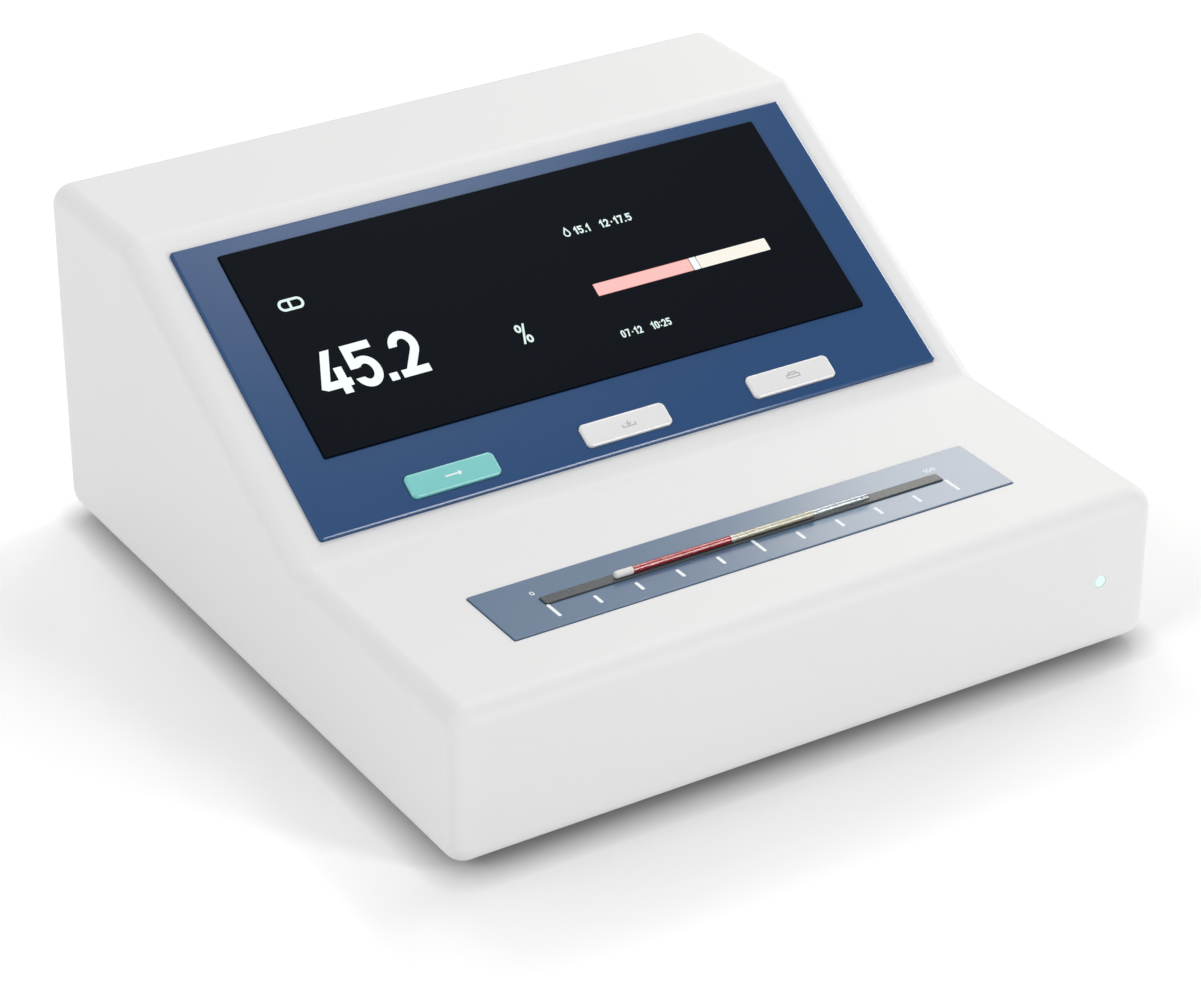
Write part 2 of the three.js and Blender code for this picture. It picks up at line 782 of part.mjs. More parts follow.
function basePlate() {
  const width = bodyWidth - 2 * baseInset - 2 * fitGap;
  const depth = bodyDepth - 2 * baseInset - 2 * fitGap;
  const sheet = plate([0, 0], width, depth, baseCornerRadius, [bottomZ, baseTopZ]);
  const { main, power } = boardPins();
  const pillars = [...main, ...power].flatMap((place) => [
    post(standoffRadius, place, [baseTopZ - baseThickness / 2, boardZ - restGap], smallSides),
    post(boardPinRadius, place, [boardZ - overrun, boardZ + boardPinHeight], smallSides),
  ]);
  const underside = bottomZ - overrun;
  const seatDepth = [underside, bottomZ + footSeat];
  const seats = feet.map(([, x, y]) => post(footRadius + fitGap, [x, y], seatDepth, largeSides));
  const headDepth = [underside, bottomZ + screwHeadHeight + restGap];
  const through = [underside, baseTopZ + overrun];
  const holes = baseBosses.flatMap(([, x, y]) => [
    post(screwHeadRadius + fitGap, [x, y], headDepth, smallSides),
    post(screwBore, [x, y], through, smallSides),
  ]);
  const vents = Array.from({ length: baseVentCount }, (_, i) => {
    const x = powerBoardX + (i - (baseVentCount - 1) / 2) * ventPitch;
    return block(about(x, ventWidth), about(powerBoardY, baseVentLength), through);
  });
  return cut(joined(sheet, ...pillars), ...seats, ...holes, ...vents);
}

function footGeometry() {
  const top = bottomZ + footSeat - restGap;
  const points = [
    [0, 0],
    [footRadius - footBevel, 0],
    [footRadius, footBevel],
    [footRadius, top],
    [0, top],
  ];
  const profile = points.map(([radius, z]) => new THREE.Vector2(radius, z));
  return new THREE.LatheGeometry(profile, largeSides).rotateX(Math.PI / 2);
}

function addBase() {
  addPiece(model, "base_plate", basePlate(), "greyPlastic");
  feet.forEach(([name, x, y]) => {
    addPiece(model, `foot_${name}`, footGeometry(), "rubber").position.set(x, y, 0);
  });
  baseBosses.forEach(([name, x, y]) => {
    addScrew(model, `base_screw_${name}`, baseScrewLength, [x, y, bottomZ]);
  });
}

function bezelGeometry() {
  const body = plate([0, bezelMiddle], bezelWidth, bezelHeight, bezelCorner, [bezelBackW, bezelProud]);
  const grow = 2 * fitGap;
  const rebate = [glassBackW - seatGap, bezelProud + overrun];
  const through = [bezelBackW - overrun, bezelProud + overrun];
  const keyHoles = keys.map(([, x]) => {
    return plate([x, keyRowS], keyWidth + 2 * keyGap, keyHeight + 2 * keyGap, keyCorner, through);
  });
  return cut(
    body,
    plate([0, glassMiddle], glassWidth + grow, glassHeight + grow, glassCorner, rebate),
    plate([0, glassMiddle], windowWidth, windowHeight, glassCorner, through),
    ...keyHoles,
  );
}

function bracketGeometry() {
  const height = lcdHeight * bracketHeightShare;
  const width = lcdWidth + 2 * bracketReach;
  const depth = [bracketBackW, bracketTopW];
  const through = [bracketBackW - overrun, bracketTopW + overrun];
  const holes = bracketBosses.map(([, x, s]) => post(screwBore, [x, s], through, smallSides));
  const slot = plate([0, glassMiddle], bracketSlotWidth, bracketSlotHeight, glassCorner, through);
  return cut(plate([0, glassMiddle], width, height, bezelCorner, depth), slot, ...holes);
}

function addDisplay() {
  addPiece(displayFace, "bezel_plate", bezelGeometry(), "bluePlate");
  const glass = plate([0, glassMiddle], glassWidth, glassHeight, glassCorner, [glassBackW, glassTopW]);
  addPiece(displayFace, "display_glass", glass, "blackGlass");
  const lcd = plate([0, glassMiddle], lcdWidth, lcdHeight, glassCorner, [lcdTopW - lcdThickness, lcdTopW]);
  addPiece(displayFace, "lcd_module", lcd, "aluminium");
  addPiece(displayFace, "lcd_bracket", bracketGeometry(), "steel");
  bracketBosses.forEach(([name, x, s]) => {
    const z = bracketBackW - seatGap - screwHeadHeight;
    addScrew(displayFace, `bracket_screw_${name}`, smallScrewLength, [x, s, z]);
  });
}

// Key cap with a softened upper edge, its retaining flange and its stem, about the origin of the key row
function keyGeometry() {
  const options = {
    depth: keyTopW - keyFlangeW - keyBevel,
    bevelThickness: keyBevel,
    bevelSize: keyBevel,
    bevelOffset: -keyBevel,
    bevelSegments: 2,
    curveSegments: arcSteps,
  };
  const cap = new THREE.ExtrudeGeometry(roundedRectangle(keyWidth, keyHeight, keyCorner), options);
  cap.translate(0, 0, keyFlangeW);
  const flangeTop = keyFlangeW;
  const flangeSize = [keyWidth + 2 * keyFlange, keyHeight + 2 * keyFlange];
  const flange = plate([0, 0], ...flangeSize, keyCorner, [flangeTop - keyFlangeThickness, flangeTop]);
  const stem = block(about(0, keyStemWidth), about(0, keyStemHeight), [keyStemW, flangeTop]);
  return joined(cap, flange, stem);
}

function switchGeometry() {
  const depth = [switchTopW - switchHeight, switchTopW];
  const body = block(about(0, switchWidth), about(0, switchWidth), depth);
  const bore = [switchTopW - switchHeight + switchFloor, switchTopW + overrun];
  return cut(body, post(plungerRadius + fitGap, [0, 0], bore, smallSides));
}

function keypadBoardGeometry() {
  const depth = [keypadTopW - boardThickness, keypadTopW];
  const through = [keypadTopW - boardThickness - overrun, keypadTopW + overrun];
  const holes = keypadBosses.map(([, x, s]) => post(screwBore, [x, s], through, smallSides));
  return cut(plate([keyRowX, keyRowS], keypadWidth, keypadHeight, bezelCorner, depth), ...holes);
}

function addKeys() {
  keys.forEach(([name, x]) => {
    const finish = name === "read" ? "tealKey" : "whiteKey";
    addPiece(displayFace, `${name}_key`, keyGeometry(), finish).position.set(x, keyRowS, 0);
    const plunger = post(plungerRadius, [0, 0], [switchTopW - plungerInside, plungerTopW], smallSides);
    addPiece(displayFace, `${name}_plunger`, plunger, "blackPlastic").position.set(x, keyRowS, 0);
    addPiece(displayFace, `${name}_switch`, switchGeometry(), "blackPlastic").position.set(x, keyRowS, 0);
  });
  addPiece(displayFace, "keypad_board", keypadBoardGeometry(), "greenBoard");
  keypadBosses.forEach(([name, x, s]) => {
    const z = keypadTopW - boardThickness - seatGap - screwHeadHeight;
    addScrew(displayFace, `keypad_screw_${name}`, smallScrewLength, [x, s, z]);
  });
}

function addDeck() {
  const place = [deckPlateShift, deckPlateY];
  const height = [deckPlateBackZ, deckZ + deckPlateProud];
  const body = plate(place, deckPlateWidth, deckPlateDepth, deckPlateCorner, height);
  const stripPlace = [deckPlateShift, stripY];
  const slotSize = [stripLength + 2 * fitGap, stripWidth + 2 * fitGap];
  const through = [deckPlateBackZ - overrun, deckZ + overrun];
  const slot = plate(stripPlace, ...slotSize, deckPlateCorner, through);
  addPiece(model, "deck_plate", cut(body, slot), "blueGloss");
  const stripHeight = [deckUnderZ, stripTopZ];
  const strip = plate(stripPlace, stripLength, stripWidth, deckPlateCorner, stripHeight);
  addPiece(model, "scan_window", strip, "darkStrip");
}

function tubeGeometry() {
  const start = sealEnd + restGap;
  const points = [
    [start, tubeBore],
    [start, tubeRadius],
    [tubeLength, tubeRadius],
    [tubeLength, tubeBore],
    [start, tubeBore],
  ];
  return turnedAlongX(points, mediumSides);
}

// Seal: a cap over the end of the tube with a plug in its bore
function sealGeometry() {
  const sleeve = tubeRadius + bloodGap;
  const plug = tubeBore - bloodGap;
  const points = [
    [0, 0],
    [0, sealRadius - sealRound],
    [sealRound, sealRadius],
    [sealLength, sealRadius],
    [sealLength, sleeve],
    [sealEnd, sleeve],
    [sealEnd, plug],
    [sealEnd + sealPlug, plug],
    [sealEnd + sealPlug, 0],
  ];
  return turnedAlongX(points, mediumSides);
}

function addTube() {
  const tube = new THREE.Group();
  tube.position.set(tubeStartX, tubeY, tubeZ);
  model.add(tube);
  const column = tubeBore - bloodGap;
  const redStart = sealEnd + sealPlug + restGap;
  const buffyEnd = redCellEnd + restGap + buffyLength;
  const layer = (limits) => barAlongX(column, limits, [0, 0], mediumSides).rotateX(Math.PI / 2);
  addPiece(tube, "capillary_tube", tubeGeometry(), "clearGlass");
  addPiece(tube, "tube_seal", sealGeometry(), "whiteClay");
  addPiece(tube, "red_cell_column", layer([redStart, redCellEnd]), "redCells");
  addPiece(tube, "buffy_coat", layer([redCellEnd + restGap, buffyEnd]), "buffyLayer");
  addPiece(tube, "plasma_column", layer([buffyEnd + restGap, plasmaEnd]), "plasma");
}

// Tray under the deck: a floor, two end walls, the motor plate and two lugs that screw to the deck
function scannerFrame() {
  const depth = about(stripY, frameDepth);
  const height = [frameFloorZ - frameThickness, frameTopZ];
  const leftEdge = -endWallX - frameWall;
  const floorHeight = [frameFloorZ - frameThickness, frameFloorZ];
  const floor = block([leftEdge, motorPlateX + frameWall], depth, floorHeight);
  const walls = [leftEdge, endWallX, motorPlateX].map((x) => block([x, x + frameWall], depth, height));
  const lugs = scannerBosses.map(([, x, y]) => {
    const inward = x < 0 ? [0, overrun] : [-overrun, 0];
    const limits = about(x, lugLength).map((limit, i) => limit + inward[i]);
    return block(limits, about(y, lugDepth), [frameTopZ - frameThickness, frameTopZ]);
  });
  const through = [leftEdge - overrun, motorX + overrun];
  const rodLimits = [leftEdge - overrun, endWallX + frameWall + overrun];
  const rods = rodPlaces().map((y) => barAlongX(rodRadius + runGap, rodLimits, [y, driveZ], smallSides));
  const journal = barAlongX(journalRadius + runGap, through, [stripY, driveZ], smallSides);
  const pilot = [motorPlateX - overrun, motorX + overrun];
  const pilotHole = barAlongX(motorPilotRadius + fitGap, pilot, [stripY, driveZ]);
  const lugDepths = [frameFloorZ, deckZ];
  const screws = scannerBosses.map(([, x, y]) => post(screwBore, [x, y], lugDepths, smallSides));
  return cut(joined(floor, ...walls, ...lugs), ...rods, journal, pilotHole, ...screws);
}

function rodPlaces() {
  return about(stripY, rodSpacing);
}

// Lead screw: plain between the end walls, with thin journals; the right one runs into the motor
function leadScrewGeometry() {
  const shoulder = endWallX - fitGap;
  const points = [
    [-endWallX - frameWall, 0],
    [-endWallX - frameWall, journalRadius],
    [-shoulder, journalRadius],
    [-shoulder, leadRadius],
    [shoulder, leadRadius],
    [shoulder, journalRadius],
    [motorX + motorShaftDepth - shaftEndGap, journalRadius],
    [motorX + motorShaftDepth - shaftEndGap, 0],
  ];
  return turnedAlongX(points, smallSides).translate(0, stripY, driveZ);
}

function motorGeometry() {
  const options = { depth: motorLength, bevelEnabled: false, curveSegments: 1 };
  const body = new THREE.ExtrudeGeometry(roundedRectangle(motorSize, motorSize, motorCorner), options);
  body.rotateY(Math.PI / 2).translate(motorX, stripY, driveZ);
  const pilot = barAlongX(motorPilotRadius, [motorX - motorPilot, motorX + overrun], [stripY, driveZ]);
  const bore = [motorX - motorPilot - overrun, motorX + motorShaftDepth];
  return cut(joined(body, pilot), barAlongX(journalRadius + runGap, bore, [stripY, driveZ], smallSides));
}

function carriageGeometry() {
  const limits = about(carriageX, carriageLength);
  const past = [limits[0] - overrun, limits[1] + overrun];
  const body = block(limits, about(stripY, carriageDepth), about(driveZ, carriageHeight));
  const rods = rodPlaces().map((y) => barAlongX(rodRadius + runGap, past, [y, driveZ], smallSides));
  return cut(body, ...rods, barAlongX(nutRadius + runGap, past, [stripY, driveZ]));
}

function nutGeometry() {
  const limits = about(carriageX, carriageLength);
  const past = [limits[0] - overrun, limits[1] + overrun];
  const body = barAlongX(nutRadius, limits, [stripY, driveZ]);
  return cut(body, barAlongX(leadRadius + runGap, past, [stripY, driveZ], smallSides));
}

function headGeometry() {
  const place = [carriageX, stripY];
  const height = [headTopZ - headHeight, headTopZ];
  const body = block(about(carriageX, headLength), about(stripY, headDepth), height);
  const lensFloor = headTopZ - lensRecess - lensThickness - restGap;
  const lensSeat = post(lensRadius + fitGap, place, [lensFloor, headTopZ + overrun]);
  const path = post(lightPathRadius, place, [headTopZ - lightPathDepth, headTopZ], smallSides);
  return cut(body, lensSeat, path);
}

function lensGeometry() {
  const rim = lensThickness - lensCrown;
  const points = [
    [0, 0],
    [lensRadius, 0],
    [lensRadius, rim],
    [lensRadius / 2, lensThickness - lensCrown / 4],
    [0, lensThickness],
  ];
  const profile = points.map(([radius, z]) => new THREE.Vector2(radius, z));
  return new THREE.LatheGeometry(profile, mediumSides).rotateX(Math.PI / 2);
}

function addScanner() {
  addPiece(model, "scanner_frame", scannerFrame(), "aluminium");
  const rodLimits = about(0, 2 * (endWallX + frameWall + rodProud));
  ["front", "rear"].forEach((name, i) => {
    const rod = barAlongX(rodRadius, rodLimits, [rodPlaces()[i], driveZ], smallSides);
    addPiece(model, `guide_rod_${name}`, rod, "steel");
  });
  addPiece(model, "lead_screw", leadScrewGeometry(), "steel");
  addPiece(model, "scan_motor", motorGeometry(), "steel");
  addPiece(model, "scan_carriage", carriageGeometry(), "blackPlastic");
  addPiece(model, "carriage_nut", nutGeometry(), "brass");
  addPiece(model, "optical_head", headGeometry(), "blackPlastic");
  const lens = addPiece(model, "scan_lens", lensGeometry(), "clearGlass");
  lens.position.set(carriageX, stripY, headTopZ - lensRecess - lensThickness);
  scannerBosses.forEach(([name, x, y]) => {
    const z = frameTopZ - frameThickness - restGap - screwHeadHeight;
    addScrew(model, `scanner_screw_${name}`, smallScrewLength, [x, y, z]);
  });
}

function addStatusLight() {
  const pipe = joined(
    barAlongY(statusRadius, [frontY, statusPipeY], [statusX, statusZ]),
    barAlongY(statusRadius + statusFlange, [frontY + wall + restGap, statusPipeY], [statusX, statusZ]),
  );
  addPiece(model, "status_light_pipe", pipe, "mintLight");
  const depth = [statusBoardY, statusBoardY + boardThickness];
  const ledDepth = [statusPipeY + seatGap, statusBoardY + boardThickness / 2];
  const board = joined(
    block(about(statusX, statusBoardWidth), depth, about(statusZ, statusBoardHeight)),
    barAlongY(statusLedRadius, ledDepth, [statusX, statusZ], smallSides),
  );
  addPiece(model, "status_led_board", board, "greenBoard");
}

function panelGeometry() {
  const sheet = block(about(0, panelWidth), [panelInnerY, panelOuterY], [panelBottomZ, panelTopZ]);
  const through = [panelInnerY - overrun, panelOuterY + overrun];
  const grow = 2 * fitGap;
  const inletSize = [inletBodyWidth + grow, inletBodyHeight + grow];
  const inletHole = uprightPlate([-inletX, inletZ], ...inletSize, inletCorner, through);
  const rockerHeight = about(inletZ, rockerBodyHeight + grow);
  const rockerHole = block(about(rockerX, rockerBodyWidth + grow), through, rockerHeight);
  const portLimits = [boardTopZ, boardTopZ + restGap + portHeight + fitGap];
  const portHole = block(about(portX, portWidth + grow), through, portLimits);
  return cut(sheet, inletHole, rockerHole, portHole);
}

// Mains inlet: flange, body with an open mouth, and three pins on its floor
function inletGeometry() {
  const place = [-inletX, inletZ];
  const flangeDepth = [panelOuterY + restGap, inletFrontY];
  const flange = uprightPlate(place, inletFlangeWidth, inletFlangeHeight, inletCorner, flangeDepth);
  const bodyLimits = [inletFrontY - inletDepth, inletFrontY];
  const body = uprightPlate(place, inletBodyWidth, inletBodyHeight, inletCorner, bodyLimits);
  const mouth = [inletFloorY, inletFrontY + overrun];
  const hollow = [inletBodyWidth - 2 * inletWall, inletBodyHeight - 2 * inletWall];
  const cavity = uprightPlate(place, ...hollow, inletCorner, mouth);
  const pinPlaces = [
    [-inletX - pinSpacing / 2, inletZ - pinHeight / 2],
    [-inletX + pinSpacing / 2, inletZ - pinHeight / 2],
    [-inletX, inletZ + pinHeight / 2],
  ];
  const pinLimits = [inletFloorY - inletFloor / 2, inletFloorY + pinLength];
  const pins = pinPlaces.map(([x, z]) => block(about(x, pinWidth), pinLimits, about(z, pinHeight)));
  return joined(cut(joined(flange, body), cavity), ...pins);
}

function rockerHousing() {
  const back = rockerFrontY - rockerDepth;
  const flange = block(
    about(rockerX, rockerFlangeWidth),
    [panelOuterY + restGap, rockerFrontY],
    about(inletZ, rockerFlangeHeight),
  );
  const bodyHeight = about(inletZ, rockerBodyHeight);
  const body = block(about(rockerX, rockerBodyWidth), [back, rockerFrontY], bodyHeight);
  const mouth = [back + rockerFloor, rockerFrontY + overrun];
  const cavity = block(about(rockerX, rockerCavityWidth), mouth, about(inletZ, rockerCavityHeight));
  const socket = about(rockerX, 2 * (trunnionLength + fitGap) + rockerWidth);
  const bearings = barAlongX(trunnionRadius + runGap, socket, [rockerPivotY, inletZ], smallSides);
  return cut(joined(flange, body), cavity, bearings);
}

// Rocker about its pivot: two sloping faces that meet in a shallow dip
function rockerGeometry() {
  const shape = new THREE.Shape([
    new THREE.Vector2(-rockerInner, -rockerInnerHalf),
    new THREE.Vector2(0, -rockerHalf),
    new THREE.Vector2(rockerProud, -rockerHalf),
    new THREE.Vector2(rockerProud - rockerDip, 0),
    new THREE.Vector2(rockerProud, rockerHalf),
    new THREE.Vector2(0, rockerHalf),
    new THREE.Vector2(-rockerInner, rockerInnerHalf),
  ].reverse());
  const body = carriedAlongX(shape, rockerWidth, { bevelEnabled: false });
  const pinLimits = about(0, rockerWidth + 2 * trunnionLength);
  const trunnions = barAlongX(trunnionRadius, pinLimits, [0, 0], smallSides);
  return joined(body, trunnions);
}

// Square data socket with a tongue in its mouth
function portGeometry() {
  const front = panelOuterY + portProud;
  const bottom = boardTopZ + restGap;
  const height = [bottom, bottom + portHeight];
  const body = block(about(portX, portWidth), [front - portDepth, front], height);
  const inner = [bottom + portWall, bottom + portHeight - portWall];
  const cavity = block(about(portX, portWidth - 2 * portWall), [front - portHollow, front + overrun], inner);
  const tongueY = [front - portHollow - portWall, front - portHollow + tongueLength];
  const tongue = block(about(portX, tongueWidth), tongueY, about(bottom + portHeight / 2, tongueHeight));
  return joined(cut(body, cavity), tongue);
}

function addRearPanel() {
  addPiece(model, "rear_panel", panelGeometry(), "greyPlastic");
  addPiece(model, "power_inlet", inletGeometry(), "blackPlastic");
  addPiece(model, "switch_housing", rockerHousing(), "blackPlastic");
  const rocker = addPiece(model, "switch_rocker", rockerGeometry(), "blackPlastic");
  rocker.position.set(rockerX, rockerPivotY, inletZ);
  rocker.rotation.x = THREE.MathUtils.degToRad(rockerTilt);
  addPiece(model, "usb_port", portGeometry(), "steel");
}

function board(xLimits, yLimits, pins, parts) {
  const sheet = block(xLimits, yLimits, [boardZ, boardTopZ]);
  const through = [boardZ - overrun, boardTopZ + overrun];
  const holes = pins.map((place) => post(boardPinRadius + fitGap, place, through, smallSides));
  return cut(joined(sheet, ...parts), ...holes);
}

function onBoard([x, y], width, depth, height) {
  return block(about(x, width), about(y, depth), [boardZ + boardThickness / 2, boardTopZ + height]);
}

function mainBoard() {
  const parts = [
    onBoard([mainBoardX, mainBoardY], chipWidth, chipWidth, chipHeight),
    onBoard([mainBoardX, mainBoardFrontY + frontHeaderInset], headerWidth, headerDepth, headerHeight),
    onBoard([ribbonX, ribbonTop().y], headerWidth, headerDepth, headerHeight),
    onBoard([mainBoardX - smallChipShift, mainBoardY + chipWidth], smallChipWidth, chipWidth, chipHeight),
  ];
  const limits = [
    [mainBoardLeft, mainBoardRight],
    [mainBoardFrontY, mainBoardBackY],
  ];
  return board(...limits, boardPins().main, parts);
}

function powerBoard() {
  const canLimits = [boardZ + boardThickness / 2, boardTopZ + canHeight];
  const parts = [
    onBoard([powerBoardX, powerBoardY], coilWidth, coilDepth, coilHeight),
    onBoard([powerBoardLeft + sinkInset, powerBoardY], sinkWidth, sinkDepth, sinkHeight),
    post(canRadius, [powerBoardX, powerBoardBackY - canInset], canLimits),
  ];
  const limits = [
    [powerBoardLeft, powerBoardRight],
    [powerBoardFrontY, powerBoardBackY],
  ];
  return board(...limits, boardPins().power, parts);
}

// Where the flat cable leaves the display, through the slot of its bracket
function ribbonTop() {
  return new THREE.Vector3(ribbonX, glassMiddle, bracketTopW - seatGap).applyMatrix4(slopeFrame);
}

// Flat cable that hangs in one bow from the display to its header on the main board
function ribbonGeometry() {
  const top = ribbonTop();
  const foot = new THREE.Vector2(top.y, boardTopZ + headerHeight + restGap + ribbonThickness / 2);
  const drop = top.z - foot.y;
  const route = new THREE.CubicBezierCurve(
    new THREE.Vector2(top.y, top.z),
    new THREE.Vector2(top.y + ribbonBow, top.z - drop / 3),
    new THREE.Vector2(top.y - ribbonBow, foot.y + drop / 3),
    foot,
  );
  const line = route.getPoints(ribbonSteps);
  const left = line.map((point, i) => {
    const along = route.getTangent(i / (line.length - 1));
    return new THREE.Vector2(-along.y, along.x).multiplyScalar(ribbonThickness / 2).add(point);
  });
  const right = line.map((point, i) => {
    const along = route.getTangent(i / (line.length - 1));
    return new THREE.Vector2(along.y, -along.x).multiplyScalar(ribbonThickness / 2).add(point);
  });
  const outline = new THREE.Shape([...left, ...right.reverse()]);
  return carriedAlongX(outline, ribbonWidth, { bevelEnabled: false }).translate(ribbonX, 0, 0);
}

function addBoards() {
  addPiece(model, "main_board", mainBoard(), "greenBoard");
  addPiece(model, "power_supply_board", powerBoard(), "greenBoard");
  const cell = post(cellRadius, [0, 0], [0, cellHeight]);
  const cellPlace = [mainBoardRight - cellInset, mainBoardY - cellInset, boardTopZ + restGap];
  addPiece(model, "coin_cell", cell, "steel").position.set(...cellPlace);
  addPiece(model, "display_ribbon", ribbonGeometry(), "greyPlastic");
}

addPiece(model, "upper_housing", upperHousing(), "whiteHousing");
addBase();
addDisplay();
addKeys();
addDeck();
addTube();
addScanner();
addStatusLight();
addRearPanel();
addBoards();

export default model;
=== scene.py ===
# Bench-top reader for capillary blood tubes, dressed for a studio picture.
# Lengths are in millimetres until a mesh is made. +Z is up, the front faces -Y, and the table is at 0.
import json

import bmesh
import bpy
import numpy as np
from mathutils import Matrix, Quaternion, Vector


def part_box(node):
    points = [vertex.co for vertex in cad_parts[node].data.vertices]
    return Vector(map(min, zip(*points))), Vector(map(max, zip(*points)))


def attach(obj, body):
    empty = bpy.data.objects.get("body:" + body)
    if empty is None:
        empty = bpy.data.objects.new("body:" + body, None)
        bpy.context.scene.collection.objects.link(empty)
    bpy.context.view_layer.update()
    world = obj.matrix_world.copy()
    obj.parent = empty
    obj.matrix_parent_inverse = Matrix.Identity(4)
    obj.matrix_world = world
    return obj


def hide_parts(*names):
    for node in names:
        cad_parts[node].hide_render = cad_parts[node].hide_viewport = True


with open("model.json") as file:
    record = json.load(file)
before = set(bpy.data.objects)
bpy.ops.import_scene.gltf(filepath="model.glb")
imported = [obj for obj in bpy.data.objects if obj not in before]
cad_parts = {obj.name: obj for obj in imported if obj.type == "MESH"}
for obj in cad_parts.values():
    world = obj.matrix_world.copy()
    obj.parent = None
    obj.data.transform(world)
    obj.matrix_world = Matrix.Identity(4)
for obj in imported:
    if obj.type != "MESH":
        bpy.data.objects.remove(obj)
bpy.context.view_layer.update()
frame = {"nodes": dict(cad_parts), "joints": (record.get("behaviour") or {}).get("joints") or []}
millimetre = 0.001
print("frame loaded")


# Colour and nodes

# sRGB hex to linear: a straight line below 0.04045, a power of 2.4 above it
def linear(hexColour):
    part = np.array([int(hexColour[i:i + 2], 16) for i in (1, 3, 5)]) / 255
    value = np.where(part <= 0.04045, part / 12.92, ((part + 0.055) / 1.055) ** 2.4)
    return (*value.tolist(), 1.0)


# One node: words set its properties, and the dictionary gives its sockets a value or a link
def addNode(tree, kind, sockets=None, **properties):
    node = tree.nodes.new("ShaderNode" + kind)
    for key, value in properties.items():
        setattr(node, key, value)
    for socket, value in (sockets or {}).items():
        if isinstance(value, bpy.types.NodeSocket):
            tree.links.new(value, node.inputs[socket])
        else:
            node.inputs[socket].default_value = value
    return node


shaderSockets = {
    "specular": "Specular IOR Level", "metallic": "Metallic", "clear": "Transmission Weight",
    "glow": "Emission Color", "glowStrength": "Emission Strength",
}


# Finish: clouds of one size blend its two tints, and a finer grain moves its roughness and lifts its surface
# by a height. Sizes are in millimetres. Stretch draws both noises out along an axis, and extra adds a pattern
def finish(name, tints, cloud, roughness, grain=0.4, lift=0.002, stretch=(1, 1, 1), extra=None, ior=1.5,
           **shader):
    material = bpy.data.materials.new(name)
    material.use_nodes = True
    tree = material.node_tree
    principled = tree.nodes["Principled BSDF"]
    principled.inputs["IOR"].default_value = ior
    for word, value in shader.items():
        principled.inputs[shaderSockets[word]].default_value = value
    place = addNode(tree, "TexCoord").outputs["Object"]
    drawn = addNode(tree, "Mapping", {"Vector": place, "Scale": stretch}).outputs[0]
    clouds = addNode(tree, "TexNoise", {
        "Vector": drawn, "Scale": 1000 / cloud, "Detail": 3.0, "Roughness": 0.5,
    })
    grains = addNode(tree, "TexNoise", {
        "Vector": drawn, "Scale": 1000 / grain, "Detail": 2.0, "Roughness": 0.6,
    })
    colour = addNode(tree, "Mix", {
        0: clouds.outputs["Fac"], 6: linear(tints[0]), 7: linear(tints[1]),
    }, data_type="RGBA")
    height = grains.outputs["Fac"]
    gloss = addNode(tree, "MapRange", {"Value": height, "To Min": roughness[0], "To Max": roughness[1]})
    if extra:
        colour, height = extra(tree, place, colour)
    relief = addNode(tree, "Bump", {"Height": height, "Strength": 0.6, "Distance": lift * millimetre})
    tree.links.new(colour.outputs[2], principled.inputs["Base Color"])
    tree.links.new(gloss.outputs[0], principled.inputs["Roughness"])
    tree.links.new(relief.outputs[0], principled.inputs["Normal"])
    return material


# Copper tracks under solder mask: a brick pattern of 2.54 mm pitch gives raised, lighter lines
def boardTracks(tree, place, colour):
    tracks = addNode(tree, "TexBrick", {
        "Vector": place, "Scale": 1000 / 25.4, "Mortar Size": 0.03, "Brick Width": 0.3, "Row Height": 0.1,
        "Color1": (0, 0, 0, 1), "Color2": (0, 0, 0, 1), "Mortar": (1, 1, 1, 1),
    })
    lighter = addNode(tree, "Mix", {
        0: tracks.outputs["Fac"], 6: colour.outputs[2], 7: linear("#3B7F55"),
    }, data_type="RGBA")
    return lighter, tracks.outputs["Fac"]


# Wires of a flat cable: bands along X with a pitch of 1 mm stand a little proud
def cableWires(tree, place, colour):
    wires = addNode(tree, "TexWave", {"Vector": place, "Scale": 1000 / 20, "Distortion": 0.0})
    darker = addNode(tree, "Mix", {
        0: wires.outputs["Fac"], 6: linear("#8E9297"), 7: colour.outputs[2],
    }, data_type="RGBA")
    return darker, wires.outputs["Fac"]


